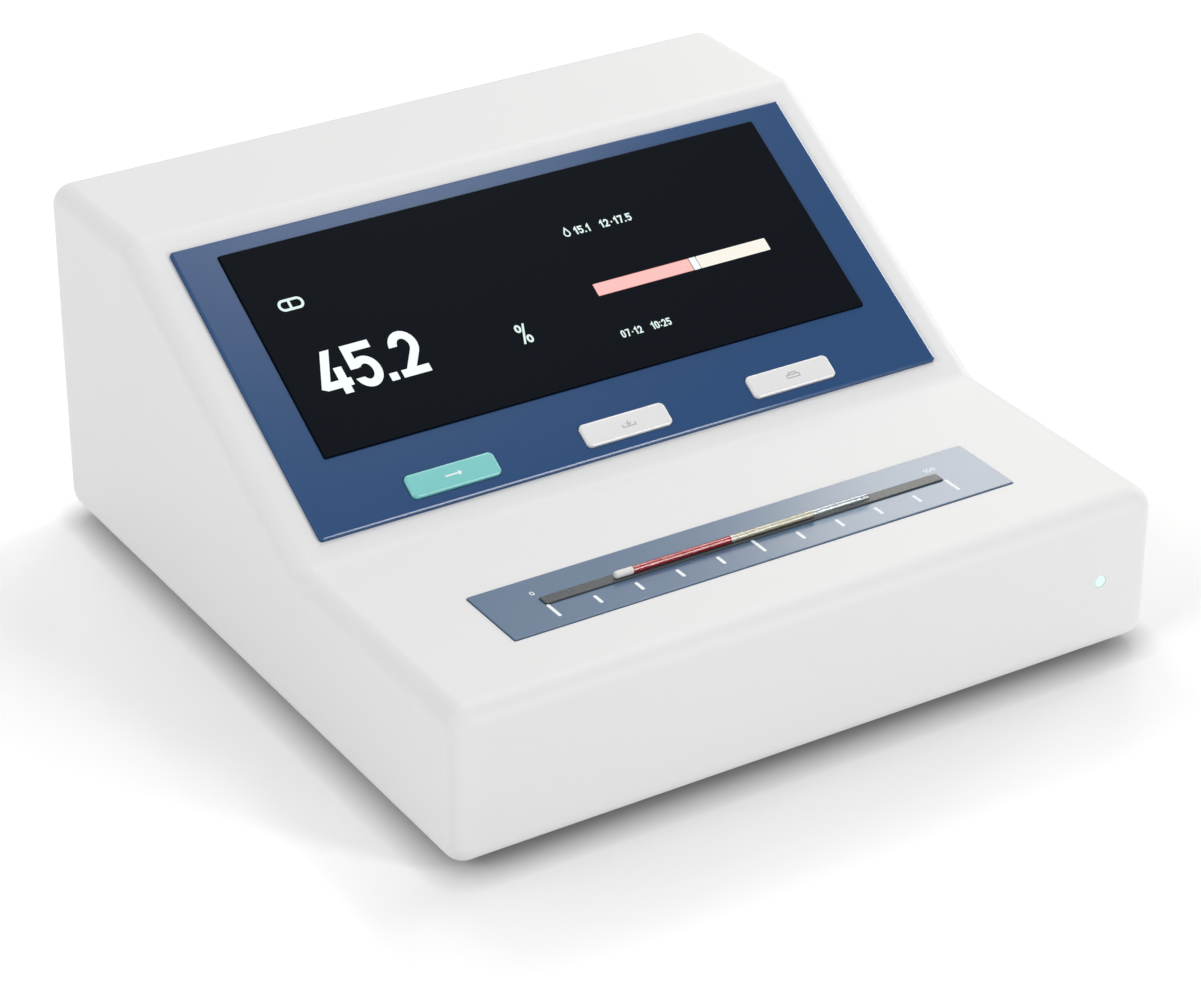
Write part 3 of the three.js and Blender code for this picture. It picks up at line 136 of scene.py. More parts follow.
finishes = {
    # Moulded ABS, spark-eroded mould: near white, soft wide highlights, a grain of 0.2 mm drawn as 0.4 mm
    "mouldedAbs": dict(
        tints=("#E4E4E4", "#E2E2E2"), cloud=60, lift=0.004, roughness=(0.36, 0.44), specular=0.2,
    ),
    # ABS plate sprayed with satin lacquer: deep blue with a clean, slightly soft reflection
    "lacqueredPlate": dict(
        tints=("#0B4173", "#093E6F"), cloud=45, grain=0.7, lift=0.003, roughness=(0.16, 0.21), specular=0.3,
    ),
    # Lacquer over the plate's faceted edge, a thin shell of a lighter blue with a wet gloss: the lighter tint
    # is a painted highlight along the edge, and the gloss is real
    "highlightLacquer": dict(
        tints=("#12487A", "#0F4373"), cloud=45, grain=0.7, lift=0.0005, roughness=(0.06, 0.1), specular=0.45,
    ),
    # Float glass, printed black on its back and given a matt coating, so it shows almost no reflection
    "coverGlass": dict(
        tints=("#11151B", "#12161C"), cloud=80, grain=1.2, lift=0.001, roughness=(0.28, 0.34), ior=1.52,
        specular=0.012,
    ),
    # Moulded ABS key, teal through and through, satin
    "tealKeyAbs": dict(
        tints=("#73C4C1", "#7AC8C5"), cloud=12, grain=0.35, lift=0.003, roughness=(0.16, 0.22),
    ),
    # Moulded ABS key, white
    "whiteKeyAbs": dict(
        tints=("#E2E2E2", "#DEDEDF"), cloud=12, grain=0.35, lift=0.003, roughness=(0.18, 0.24),
    ),
    # Polished acrylic, printed blue on its back: a mirror-like skin over a deep colour
    "polishedAcrylic": dict(tints=("#506A88", "#4D6784"), cloud=50, grain=0.9, roughness=(0.18, 0.22)),
    # Smoked polycarbonate strip: dark grey, glossy
    "smokedStrip": dict(
        tints=("#4A4E51", "#464A4D"), cloud=20, grain=0.5, roughness=(0.24, 0.32), specular=0.22,
    ),
    # Screen-printed white ink on the scale and the keys: an even, slightly matt film
    "whiteInk": dict(tints=("#EEF1F4", "#E6EAEE"), cloud=3, grain=0.5, roughness=(0.45, 0.55)),
    # Screen-printed grey ink on the white keys: the same film
    "greyInk": dict(tints=("#A9ABAD", "#A2A4A6"), cloud=3, grain=0.5, roughness=(0.45, 0.55)),
    # Borosilicate glass, drawn and fire-polished: clear, bright edges, faint draw lines along it
    "drawnGlass": dict(
        tints=("#EEF3F3", "#E6ECEC"), cloud=6, grain=0.3, lift=0.00002, roughness=(0.0, 0.01),
        stretch=(0.02, 1, 1), ior=1.47, clear=1.0, specular=0.24,
    ),
    # Sealing clay pressed into the tube: chalky white, no gloss
    "sealingClay": dict(tints=("#E9E8E6", "#DEDCD8"), cloud=1.5, grain=0.2, lift=0.01, roughness=(0.6, 0.75)),
    # Packed red cells behind glass: deep red, wet
    "redCells": dict(
        tints=("#C00A18", "#AA0815"), cloud=2, lift=0.0002, roughness=(0.15, 0.25), stretch=(0.1, 1, 1),
        ior=1.38, specular=0.08,
    ),
    # White cells and platelets: a pale, slightly pink band
    "buffyLayer": dict(tints=("#F0E6DF", "#E8DAD2"), cloud=1, grain=0.3, roughness=(0.3, 0.4), ior=1.38),
    # Plasma: clear straw-coloured liquid
    "plasma": dict(
        tints=("#CFC8B0", "#C4BA9A"), cloud=4, lift=0.0002, roughness=(0.05, 0.1), stretch=(0.1, 1, 1),
        ior=1.35,
    ),
    # Moulded light pipe of clear acrylic with the lamp on behind it
    "litPipe": dict(
        tints=("#95AAA6", "#8FA8A3"), cloud=2, grain=0.3, roughness=(0.15, 0.25), ior=1.49,
        glow=linear("#E4FFF8"), glowStrength=0.6,
    ),
    # Moulded TPE foot: dark, matt, a grain of 0.3 mm
    "mouldedRubber": dict(tints=("#2A2B2D", "#232426"), cloud=5, grain=0.3, lift=0.02, roughness=(0.75, 0.9)),
    # Moulded grey ABS, with its grain and faint flow marks
    "greyAbs": dict(tints=("#B9BCBF", "#B2B5B8"), cloud=35, grain=0.5, lift=0.008, roughness=(0.5, 0.6)),
    # Glass-filled nylon, moulded: black with fibres that break up its gloss
    "blackNylon": dict(
        tints=("#1D1E20", "#17181A"), cloud=3, grain=0.25, lift=0.006, roughness=(0.38, 0.55),
        stretch=(1, 0.4, 1), ior=1.53,
    ),
    # Nylon rocker from a polished mould: black, satin, with soft highlights on its curve
    "satinNylon": dict(tints=("#191A1C", "#141516"), cloud=4, roughness=(0.22, 0.3), ior=1.53),
    # Steel wire, headed and zinc plated: bright with a faint grey bloom
    "zincSteel": dict(
        tints=("#B9BDC0", "#A9ADB1"), cloud=2, grain=0.15, lift=0.003, roughness=(0.28, 0.42), metallic=1.0,
    ),
    # Ground steel rod: fine rings round it, so the noise is drawn out across its length
    "groundSteel": dict(
        tints=("#C2C5C8", "#B5B9BC"), cloud=4, grain=0.2, roughness=(0.2, 0.32), stretch=(4, 0.3, 0.3),
        metallic=1.0,
    ),
    # Rolled aluminium sheet: lines of the rolling run across the body
    "rolledAluminium": dict(
        tints=("#C3C6C9", "#B8BBBF"), cloud=12, lift=0.004, roughness=(0.32, 0.46), stretch=(0.08, 1, 1),
        metallic=1.0,
    ),
    # Turned brass nut: rings round its axis
    "turnedBrass": dict(
        tints=("#C7A35A", "#B8924C"), cloud=3, grain=0.25, lift=0.004, roughness=(0.28, 0.38),
        stretch=(5, 0.5, 0.5), metallic=1.0,
    ),
    # Painted steel can of the small motor
    "motorPaint": dict(tints=("#8E9296", "#84888C"), cloud=8, lift=0.006, roughness=(0.42, 0.55)),
    # Fibreglass board under green solder mask, with tracks that show through
    "solderMask": dict(
        tints=("#1F5A3B", "#1A5034"), cloud=8, grain=0.5, lift=0.02, roughness=(0.3, 0.4), extra=boardTracks,
    ),
    # Flat cable of grey PVC with its wires moulded side by side
    "flatCable": dict(
        tints=("#B4B7BA", "#ABAEB1"), cloud=6, lift=0.05, roughness=(0.45, 0.55), ior=1.52, extra=cableWires,
    ),
    # Nickel-plated steel shell of the data socket
    "nickelShell": dict(tints=("#C9C7C2", "#BDBBB6"), cloud=3, grain=0.3, roughness=(0.2, 0.3), metallic=1.0),
}

# Screen inks: cells of the display lit from behind, so they give off their own colour
screenColours = {
    "screenWhite": "#F8FFFF", "screenMint": "#E3F7F2", "screenRed": "#FBC2BD",
    "screenRedEdge": "#F3A9A4", "screenCream": "#F9F4E8", "screenCreamEdge": "#FFFDF6",
}
for name, hexColour in screenColours.items():
    finishes[name] = dict(
        tints=("#0B0D10", "#101317"), cloud=2, lift=0.001, roughness=(0.3, 0.4), specular=0.1,
        glow=linear(hexColour), glowStrength=1.0,
    )

materials = {name: finish(name, **recipe) for name, recipe in finishes.items()}
print("materials made:", len(materials))


# Shapes: a shape is its points, an array (n, 3), and its faces, lists of point numbers

overrun = 1  # how far a cutting tool reaches past a surface


# Tube of quads through rings (rows, columns, 3); its ends are capped, or its last ring meets its first
def loft(rings, closed=False):
    rows, columns = rings.shape[:2]
    index = np.arange(rows * columns).reshape(rows, columns)
    if closed:
        index = np.vstack([index, index[:1]])
    beside = np.roll(index, -1, axis=1)
    quads = np.stack([index[:-1], beside[:-1], beside[1:], index[1:]], axis=2).reshape(-1, 4)
    caps = [] if closed else [index[0, ::-1].tolist(), index[-1].tolist()]
    return rings.reshape(-1, 3), quads.tolist() + caps


# Flat rings (rows, columns, 2) with each row's height as the third coordinate
def raised(flat, height):
    rise = np.broadcast_to(height[:, None, None], flat.shape[:2] + (1,))
    return np.concatenate([flat, rise], axis=2)


# Several shapes as one: each one's point numbers start after those of the shapes before it
def joined(*shapes):
    starts = np.cumsum([0] + [len(points) for points, _ in shapes])
    faces = [[int(start) + n for n in face] for start, (_, some) in zip(starts, shapes) for face in some]
    return np.concatenate([points for points, _ in shapes]), faces


# Shape in a frame: an origin plus each local length along that frame's own axis
def inFrame(shape, place):
    origin, axes = place
    return np.asarray(origin, float) + shape[0] @ np.asarray(axes, float), shape[1]


def unit(vectors):
    return vectors / np.linalg.norm(vectors, axis=-1, keepdims=True)


# Polygon with arcs at its corners: an arc touches both sides, so its middle lies on the line that halves the
# corner, at radius / sin(half angle). Gives the points and the outward normals of the arcs
def roundedPolygon(corners, radii, steps):
    corners, radii = np.asarray(corners, float), np.asarray(radii, float)
    back = unit(np.roll(corners, 1, axis=0) - corners)
    ahead = unit(np.roll(corners, -1, axis=0) - corners)
    half = np.arccos((back * ahead).sum(axis=1)) / 2
    middle = corners + unit(back + ahead) * (radii / np.sin(half))[:, None]
    first = corners + back * (radii / np.tan(half))[:, None] - middle
    last = corners + ahead * (radii / np.tan(half))[:, None] - middle
    begin = np.arctan2(first[:, 1], first[:, 0])
    turn = (np.arctan2(last[:, 1], last[:, 0]) - begin + np.pi) % (2 * np.pi) - np.pi
    angle = begin[:, None] + turn[:, None] * np.linspace(0, 1, steps + 1)
    spoke = np.stack([np.cos(angle), np.sin(angle)], axis=2)
    points = middle[:, None] + radii[:, None, None] * spoke
    return points.reshape(-1, 2), (spoke * np.sign(turn)[:, None, None]).reshape(-1, 2)


def roundedRectangle(width, height, radius, steps=6):
    x, y = width / 2, height / 2
    return roundedPolygon([(-x, -y), (x, -y), (x, y), (-x, y)], [radius] * 4, steps)


# Plate: ring k is the outline drawn in by inset k along its normals, at height k. A closed one is a frame
def plate(outline, centre, sections, closed=False):
    points, normals = outline
    inset, height = np.array(sections, float).T
    return loft(raised(points - inset[:, None, None] * normals + np.asarray(centre, float), height), closed)


# Plate from its width, height and corner radius, grown by some play on each side
def slab(size, centre, sections, play=0.0, closed=False):
    width, height, radius = size
    return plate(roundedRectangle(width + 2 * play, height + 2 * play, radius), centre, sections, closed)


# Straight side of a plate
def straight(low, high):
    return [(0, low), (0, high)]


# Side of a plate from one level to another: inset r(1 - cos t) and height top - r(1 - sin t) round its top
# edge, and the same the other way up round its lower edge
def softEdges(low, high, top, foot=0.0, steps=4):
    turn = np.linspace(0, np.pi / 2, steps + 1) if top else np.zeros(1)
    upper = np.stack([top * (1 - np.cos(turn)), high - top * (1 - np.sin(turn))], axis=1)
    turn = np.linspace(np.pi / 2, 0, steps + 1) if foot else np.zeros(1)
    lower = np.stack([foot * (1 - np.cos(turn)), low + foot * (1 - np.sin(turn))], axis=1)
    return np.concatenate([lower, upper])


# Side of a plate whose top edge is ground in two facets: the upper one leans by 25 degrees, the lower one by
# 50, and their sizes come from the share of the edge that each takes
def facetedEdge(low, high, edge):
    upper = np.array([0.65, 0.65 * np.tan(np.radians(25))]) * edge
    lower = np.array([0.35, 0.35 * np.tan(np.radians(50))]) * edge
    return [(0, low), (0, high - upper[1] - lower[1]), (lower[0], high - upper[1]), (edge, high)]


# Side of a cutting tool whose mouth flares in a quarter circle, so the hole gets a rounded lip
def flaredMouth(low, surface, lip, steps=4):
    turn = np.linspace(0, np.pi / 2, steps + 1)
    flare = np.stack([-lip * (1 - np.cos(turn)), surface - lip * (1 - np.sin(turn))], axis=1)
    return np.concatenate([[[0, low]], flare, [[-lip, surface + overrun]]])


# Angles of the sides of a turned shape, and the unit circle through them
def circle(sides):
    angle = np.arange(sides) / sides * 2 * np.pi
    return angle, np.stack([np.cos(angle), np.sin(angle)], axis=1)


# Turned shape about the local Z: ring k has radius k at height k
def turned(profile, sides=48, closed=False):
    height, radius = np.array(profile, float).T
    return loft(raised(radius[:, None, None] * circle(sides)[1], height), closed)


# Ribbon on a face: both edges are the path moved half a width along its normal, and at a corner the step is
# longer by 1 / cos(half the turn). An open end is cut along the axis that its normal is nearest to
def ribbon(path, width, low, high, closed=False):
    path = np.asarray(path, float)
    ahead = unit(np.roll(path, -1, axis=0) - path)
    behind = np.roll(ahead, 1, axis=0)
    if not closed:
        ahead[-1], behind[0] = ahead[-2], ahead[0]
    normal = np.stack([-(ahead + behind)[:, 1], (ahead + behind)[:, 0]], axis=1) / 2
    step = normal / (normal ** 2).sum(axis=1, keepdims=True) * width / 2
    for end in () if closed else (0, -1):
        axis = np.argmax(np.abs(normal[end]))
        step[end] = 0
        step[end, axis] = width / 2 / normal[end, axis]
    left, right = path + step, path - step
    rings = np.stack([left, right, right, left], axis=1)
    rise = np.broadcast_to(np.array([low, low, high, high])[None, :, None], rings.shape[:2] + (1,))
    return loft(np.concatenate([rings, rise], axis=2), closed)


# Arc of an ellipse from one angle to another, in degrees
def arc(x, y, halfWidth, halfHeight, start, end, steps=12):
    angle = np.radians(np.linspace(start, end, steps + 1))
    return np.stack([x + halfWidth * np.cos(angle), y + halfHeight * np.sin(angle)], axis=1)


# Whole ellipse, as the path of a closed ribbon
def oval(x, y, halfWidth, halfHeight):
    return arc(x, y, halfWidth, halfHeight, 0, 345, 23)


# Frames that shapes are placed in: an origin and three axes

def above(x, y):
    return ((x, y, 0), np.eye(3))


def alongX(y, z):
    return ((0, y, z), [(0, 1, 0), (0, 0, 1), (1, 0, 0)])


def alongY(x, z):
    return ((x, 0, z), [(0, 0, 1), (1, 0, 0), (0, 1, 0)])


facingUp = above(0, 0)
facingBack = ((0, 0, 0), [(1, 0, 0), (0, 0, 1), (0, 1, 0)])
pressAxis = next(np.array(j["axis"], float) for j in frame["joints"] if j["name"] == "read_press")
outward = unit(-pressAxis)  # out of the display face
upSlope = np.array([0, outward[2], -outward[1]])


# Meshes

# Mesh object of a shape, faces outward
def meshObject(name, shape):
    mesh = bpy.data.meshes.new(name)
    mesh.from_pydata((shape[0] * millimetre).tolist(), [], shape[1])
    work = bmesh.new()
    work.from_mesh(mesh)
    bmesh.ops.recalc_face_normals(work, faces=work.faces)
    work.to_mesh(mesh)
    work.free()
    piece = bpy.data.objects.new(name, mesh)
    bpy.context.scene.collection.objects.link(piece)
    return piece


# Takes the modifiers' result as the piece's own mesh
def settle(piece):
    depsgraph = bpy.context.evaluated_depsgraph_get()
    mesh = bpy.data.meshes.new_from_object(piece.evaluated_get(depsgraph))
    old = piece.data
    piece.modifiers.clear()
    piece.data = mesh
    name = old.name
    bpy.data.meshes.remove(old)
    mesh.name = name


shortestEdge = 0.0005  # an exact Boolean can leave shorter ones, which are merged away


# Adds shapes to a piece and cuts others from it, with exact Booleans in that order
def carve(piece, steps):
    tools = []
    for i, (operation, shapes) in enumerate(steps):
        group = bpy.data.collections.new(f"tools{i}")
        bpy.context.scene.collection.children.link(group)
        for k, shape in enumerate(shapes):
            tool = meshObject(f"tool{i}_{k}", shape)
            bpy.context.scene.collection.objects.unlink(tool)
            group.objects.link(tool)
            tools.append(tool)
        modifier = piece.modifiers.new(f"cut{i}", "BOOLEAN")
        modifier.operation = operation
        modifier.operand_type = "COLLECTION"
        modifier.collection = group
        modifier.solver = "EXACT"
    bpy.context.view_layer.update()
    settle(piece)
    for tool in tools:
        mesh = tool.data
        bpy.data.objects.remove(tool)
        bpy.data.meshes.remove(mesh)
    for group in [g for g in bpy.data.collections if g.name.startswith("tools")]:
        bpy.data.collections.remove(group)
    work = bmesh.new()
    work.from_mesh(piece.data)
    bmesh.ops.dissolve_degenerate(work, edges=work.edges, dist=shortestEdge * millimetre)
    work.to_mesh(piece.data)
    work.free()


# New piece: its mesh, the body it rides on, its finish, the nodes it stands for, what is cut from it or added
# to it, and the frame that all its shapes are in. Edges sharper than an angle in degrees stay sharp
def addPiece(name, shape, body, finishName, nodes=(), steps=(), place=facingUp, sharp=32):
    piece = meshObject(name, inFrame(shape, place))
    if steps:
        carve(piece, [(operation, [inFrame(tool, place) for tool in tools]) for operation, tools in steps])
    mesh = piece.data
    mesh.materials.clear()
    mesh.materials.append(materials[finishName])
    mesh.shade_smooth()
    mesh.set_sharp_from_angle(angle=np.radians(sharp))
    weighted = piece.modifiers.new("weighted", "WEIGHTED_NORMAL")
    weighted.keep_sharp = True
    bpy.context.view_layer.update()
    settle(piece)
    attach(piece, body)
    if nodes:
        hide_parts(*nodes)


# Housing, with the sizes of what its openings hold. Three numbers are a width, a height and a corner radius

housing = {
    "width": 207, "front": -105.7, "back": 105.7, "bottom": 2.5, "deck": 45.6, "top": 98.8,
    "slopeFoot": -29.0, "slopeHead": 60.0, "edge": 5.6, "corner": 5.99, "wall": 2.6, "rim": 7.5, "steps": 10,
    "rimWidth": 15.5, "baseInset": 8.5, "baseTop": 4.95, "baseCorner": 5, "play": 0.15, "lip": 0.12,
    "bossX": 91.5, "bossY": 93.7, "bossRadius": 3.4, "bossTop": 15.5, "bore": 1.45, "boreTop": 14.2,
}
displayFace = ((0, housing["slopeFoot"], housing["deck"]), [(1, 0, 0), upSlope, outward])
display = {
    "bezel": (186.2, 90.49, 0.8), "bezelMiddle": 51.84, "bezelLow": -0.6, "bezelTop": 1.2, "bezelEdge": 0.5,
    "bezelPlay": 0.02, "bezelLip": 0.05, "seatGap": 0.3, "highlightOut": (-0.01, 0.012), "highlightIn": (0.03, -0.05),
    "glass": (163.6, 64.09, 0.5), "glassMiddle": 60.04, "glassLow": 0.8, "glassTop": 1.9,
    "glassEdge": 0.2, "glassLip": 0.08, "ledge": 3, "keyLip": 0.12,
}
keys = {
    "cap": (25.7, 6.9, 1.4), "row": 13.45, "top": 2.15, "edge": 0.62, "gap": 0.1, "overlap": 0.2,
    "flange": 1.2, "flangeTop": -2.9, "flangeLow": -3.9, "flangeEdge": 0.2,
    "stem": (5, 4, 0.4), "stemLow": -6.3, "stemEdge": 0.3,
    "places": {"read": -52.5, "save": -1.3, "print": 49.9},
}
deck = {
    "plate": (147.4, 23, 0.5), "middle": (0.3, -72.0), "low": 44.6, "top": 46.0, "edge": 0.16,
    "strip": (118, 3.4, 0.5), "stripMiddle": (0.3, -71.8), "stripLow": 43.0, "stripTop": 46.43,
    "stripEdge": 0.14, "slotLip": 0.08, "seatGap": 0.05,
}
rear = {
    "bay": (112, 34, 2), "bayMiddle": 28.5, "bayWall": 2, "bayLip": 0.8, "seatGap": 0.05,
    "panelSpan": (97.55, 99.05), "panelRows": (7.55, 49.5), "panelWidth": 120, "panelCorner": 1,
    "panelEdge": 0.25, "holeLip": 0.15, "vents": 11, "vent": (2.6, 20, 1.29), "ventMiddle": 71.5,
    "ventPitch": 6.6, "ventLip": 0.4,
}
statusLight = {
    "x": 86.35, "z": 23.9, "radius": 1.6, "flange": 2.75, "flangeY": -103.05, "inner": -100.1, "play": 0.15,
}


# Body: at distance x from the middle its side profile is drawn in by r(1 - cos t), with
# x = half width - r(1 - sin t)
def bodyShape(inset, floor, steps):
    h = housing
    shift = inset * np.tan(np.arccos(outward[2]) / 2)
    corners = [
        (h["front"] + inset, floor), (h["back"] - inset, floor), (h["back"] - inset, h["top"] - inset),
        (h["slopeHead"] + shift, h["top"] - inset), (h["slopeFoot"] + shift, h["deck"] - inset),
        (h["front"] + inset, h["deck"] - inset),
    ]
    radii = [h["corner"] - inset] * 4 + [h["corner"] + inset, h["corner"] - inset]
    profile, normals = roundedPolygon(corners, radii, steps)
    radius = h["edge"] - inset
    turn = np.linspace(0, np.pi / 2, steps + 1)
    across = h["width"] / 2 - inset - radius * (1 - np.sin(turn))
    across = np.concatenate([-across[::-1], across])
    drawnIn = np.concatenate([(1 - np.cos(turn))[::-1], 1 - np.cos(turn)]) * radius
    side = profile - drawnIn[:, None, None] * normals
    x = np.broadcast_to(across[:, None, None], side.shape[:2] + (1,))
    return loft(np.concatenate([x, side], axis=2))


def windowHole(low, high):
    return slab(display["glass"], (0, display["glassMiddle"]), straight(low, high), -display["ledge"])


def keyHoles(sections):
    return [slab(keys["cap"], (x, keys["row"]), sections, keys["gap"]) for x in keys["places"].values()]


# The hollow and the opening of the base, then the tunnel of the rear bay and the screw bosses, then the holes
def housingTools():
    h, d = housing, display
    width, depth = h["width"], h["back"] - h["front"]
    below, within, through = h["bottom"] - overrun, -h["wall"] - overrun, h["wall"] + overrun
    hollow = [
        bodyShape(h["wall"], h["rim"], 4),
        slab((width, depth, h["baseCorner"]), (0, 0), straight(below, h["rim"] + overrun), -h["rimWidth"]),
        slab((width, depth, h["baseCorner"]), (0, 0), straight(below, h["baseTop"]), -h["baseInset"]),
    ]
    panelFace = rear["panelSpan"][1]
    tunnel = straight(panelFace + rear["seatGap"], h["back"] - h["wall"] / 2)
    added = [inFrame(slab(rear["bay"], (0, rear["bayMiddle"]), tunnel, rear["bayWall"]), facingBack)]
    corners = [(x, y) for x in (-h["bossX"], h["bossX"]) for y in (-h["bossY"], h["bossY"])]
    boss = turned([(h["baseTop"], h["bossRadius"]), (h["bossTop"], h["bossRadius"])], 32)
    bore = turned([(below, h["bore"]), (h["boreTop"], h["bore"])], 24)
    added += [inFrame(boss, above(x, y)) for x, y in corners]
    pocket = flaredMouth(d["bezelLow"] - d["seatGap"], 0, d["bezelLip"])
    sloping = [
        slab(d["bezel"], (0, d["bezelMiddle"]), pocket, d["bezelPlay"]),
        windowHole(within, overrun), *keyHoles(straight(within, overrun)),
    ]
    pocket = flaredMouth(deck["low"] - deck["seatGap"], h["deck"], h["lip"])
    slot = straight(h["deck"] - through, h["deck"] + overrun)
    flat = [
        slab(deck["plate"], deck["middle"], pocket, h["play"]),
        slab(deck["strip"], deck["stripMiddle"], slot, h["play"]),
    ]
    bay = flaredMouth(panelFace - overrun, h["back"], rear["bayLip"])
    vent = flaredMouth(h["back"] - through, h["back"], rear["ventLip"])
    ventX = (np.arange(rear["vents"]) - (rear["vents"] - 1) / 2) * rear["ventPitch"]
    behind = [
        slab(rear["bay"], (0, rear["bayMiddle"]), bay),
        *[slab(rear["vent"], (x, rear["ventMiddle"]), vent) for x in ventX],
    ]
    lightHole = statusLight["radius"] + statusLight["play"]
    light = turned([(h["front"] - overrun, lightHole), (h["front"] + through, lightHole)])
    cuts = [inFrame(tool, displayFace) for tool in sloping] + flat
    cuts += [inFrame(tool, facingBack) for tool in behind]
    cuts.append(inFrame(light, alongY(statusLight["x"], statusLight["z"])))
    cuts += [inFrame(bore, above(x, y)) for x, y in corners]
    return [("DIFFERENCE", hollow), ("UNION", added), ("DIFFERENCE", cuts)]


addPiece("housing_shell", bodyShape(0, housing["bottom"], housing["steps"]), "body", "mouldedAbs",
         ["upper_housing"], housingTools())
print("housing made")


# Display: plate, glass and keys

def addDisplay():
    d = display
    low, high = d["bezelLow"] - overrun, d["bezelTop"] + overrun
    rebate = flaredMouth(d["glassLow"] - d["seatGap"], d["bezelTop"], d["glassLip"])
    cuts = [
        slab(d["glass"], (0, d["glassMiddle"]), rebate, housing["play"]),
        windowHole(low, high), *keyHoles(flaredMouth(low, d["bezelTop"], d["keyLip"])),
    ]
    side = facetedEdge(d["bezelLow"], d["bezelTop"], d["bezelEdge"])
    addPiece("bezel", slab(d["bezel"], (0, d["bezelMiddle"]), side), "body", "lacqueredPlate",
             ["bezel_plate"], [("DIFFERENCE", cuts)], displayFace, sharp=8)
    # A thin shell of lighter, glossier lacquer over the faceted edge: a painted highlight along the plate's
    # edges
    edge = np.array(side[1:])
    highlightShell = np.concatenate([edge + d["highlightOut"], edge[::-1] + d["highlightIn"]])
    addPiece("bezel_highlight_edge", slab(d["bezel"], (0, d["bezelMiddle"]), highlightShell, closed=True), "body", "highlightLacquer",
             place=displayFace, sharp=8)
    side = softEdges(d["glassLow"], d["glassTop"], d["glassEdge"])
    addPiece("cover_glass", slab(d["glass"], (0, d["glassMiddle"]), side), "body", "coverGlass",
             ["display_glass"], place=displayFace)


# A key is its cap, with a flange under the plate that keeps it in and a stem that reaches its switch
def addKey(name, x):
    k = keys
    middle = (x, k["row"])
    flangeSide = softEdges(k["flangeLow"], k["flangeTop"], k["flangeEdge"])
    stemSide = softEdges(k["stemLow"], k["flangeLow"] + k["overlap"], 0, k["stemEdge"])
    below = [slab(k["cap"], middle, flangeSide, k["flange"]), slab(k["stem"], middle, stemSide)]
    cap = slab(k["cap"], middle, facetedEdge(k["flangeTop"] - k["overlap"], k["top"], k["edge"]))
    finishName, slot = ("tealKeyAbs", "key_teal") if name == "read" else ("whiteKeyAbs", "key_white")
    addPiece(f"{name}_keycap", cap, f"{name}_button", finishName, [f"{name}_key"], [("UNION", below)],
             displayFace)


addDisplay()
for name, x in keys["places"].items():
    addKey(name, x)
print("display made")


# Marks: digits are strokes on a square from 0 to 1, and (x, y) is how far a flat end reaches past it. Only
# the stroke of 0 is closed

def digitStrokes(x, y):
    return {
        "0": [np.concatenate([arc(0.5, 0.7, 0.5, 0.3, 0, 180), arc(0.5, 0.3, 0.5, 0.3, 180, 360)])],
        "1": [[(-x, 0.7), (0.9, 1), (0.9, -y)]],
        "2": [[(0, 0.72), *arc(0.5, 0.7, 0.5, 0.3, 170, -36), (0.08, -y)], [(-x, 0), (1 + x, 0)]],
        "4": [[(0.68, 1 + y), (0.04, 0.2), (0.1, 0.18), (1 + x, 0.18)], [(0.84, 0.61), (0.84, -y)]],
        "5": [[(1 + x, 1), (0, 1), (0, 0.45)], arc(0.5, 0.315, 0.5, 0.315, 152, -158, 24)],
        "7": [[(-x, 1), (1, 1), (0.4, -y)]],
        "-": [[(0.15, 0.45), (0.85, 0.45)]],
    }


digitWidth = {"1": 0.62, "4": 1.11, "-": 0.8}  # as a share of the other digits' width
dotRows = {".": [0], ":": [0.25, 0.7]}  # places of the dots as a share of the height, and 0 is on the line


# Row of digits from the left: each one's strokes are stretched to its width and height less one stroke
def numberShape(text, start, size, stroke, gap, levels):
    height = size[1]
    up = height - stroke
    shapes, x = [], start[0]
    for sign in text:
        if sign in dotRows:
            for share in dotRows[sign]:
                middle = (x + stroke / 2, start[1] + (height * share or stroke / 2))
                dot = roundedRectangle(stroke, stroke, stroke * 0.08, 2)
                shapes.append(plate(dot, middle, straight(*levels)))
            x += stroke + gap * 1.25
            continue
        width = size[0] * digitWidth.get(sign, 1)
        across = width - stroke
        for path in digitStrokes(stroke / 2 / across, stroke / 2 / up)[sign]:
            drawn = np.asarray(path, float) * (across, up) + (x + stroke / 2, start[1] + stroke / 2)
            shapes.append(ribbon(drawn, stroke, *levels, closed=sign == "0"))
        x += width + gap
    return joined(*shapes)


def addMark(name, shape, finishName, body="body", place=displayFace):
    addPiece(name, shape, body, finishName, place=place)


def flatBar(x, y, levels, radius=0.3):
    outline = roundedRectangle(x[1] - x[0], y[1] - y[0], radius, 4)
    return plate(outline, ((x[0] + x[1]) / 2, (y[0] + y[1]) / 2), straight(*levels))


# Screen: each text and sign with its place on the display face, and the height, stroke and gap of its digits
screen = {
    "levels": (1.8, 1.92), "rim": 0.14, "fieldRise": 0.02,
    "number": "45.2", "start": (-73.7, 43.7), "digit": (8.05, 13.7), "stroke": 2.35, "gap": 0.95,
    "share": (-14.5, 46.85), "shareStroke": 0.6, "drop": (12.1, 71.6, 2.6, 0.4),
    "tube": ((-73.2, -66.7), (71.6, 74.5)), "tubeStroke": 0.75, "tubeBend": 1.3, "tubeLayer": 0.45,
    "line": {"15.1": (14.4, 71.4), "12-17.5": (22.4, 71.4)}, "lineDigit": ((1.45, 2.45), 0.46, 0.3),
    "foot": {"07-12": (11.0, 37.8), "10:25": (20.4, 37.8)}, "footDigit": ((1.2, 2.3), 0.4, 0.27),
    "barRows": (51.7, 55.6), "red": (10.94, 40.76), "white": (40.94, 42.94), "cream": (43.12, 65.2),
}


# Percent sign: two rings and a slanting stroke
def percentShape(centre, stroke, levels):
    x, y = centre
    return joined(
        ribbon(oval(x - 0.95, y + 1.8, 0.65, 0.95), stroke, *levels, closed=True),
        ribbon(oval(x + 0.95, y - 1.8, 0.65, 0.95), stroke, *levels, closed=True),
        ribbon([(x - 1.1, y - 3.05), (x + 1.1, y + 3.05)], stroke, *levels),
    )


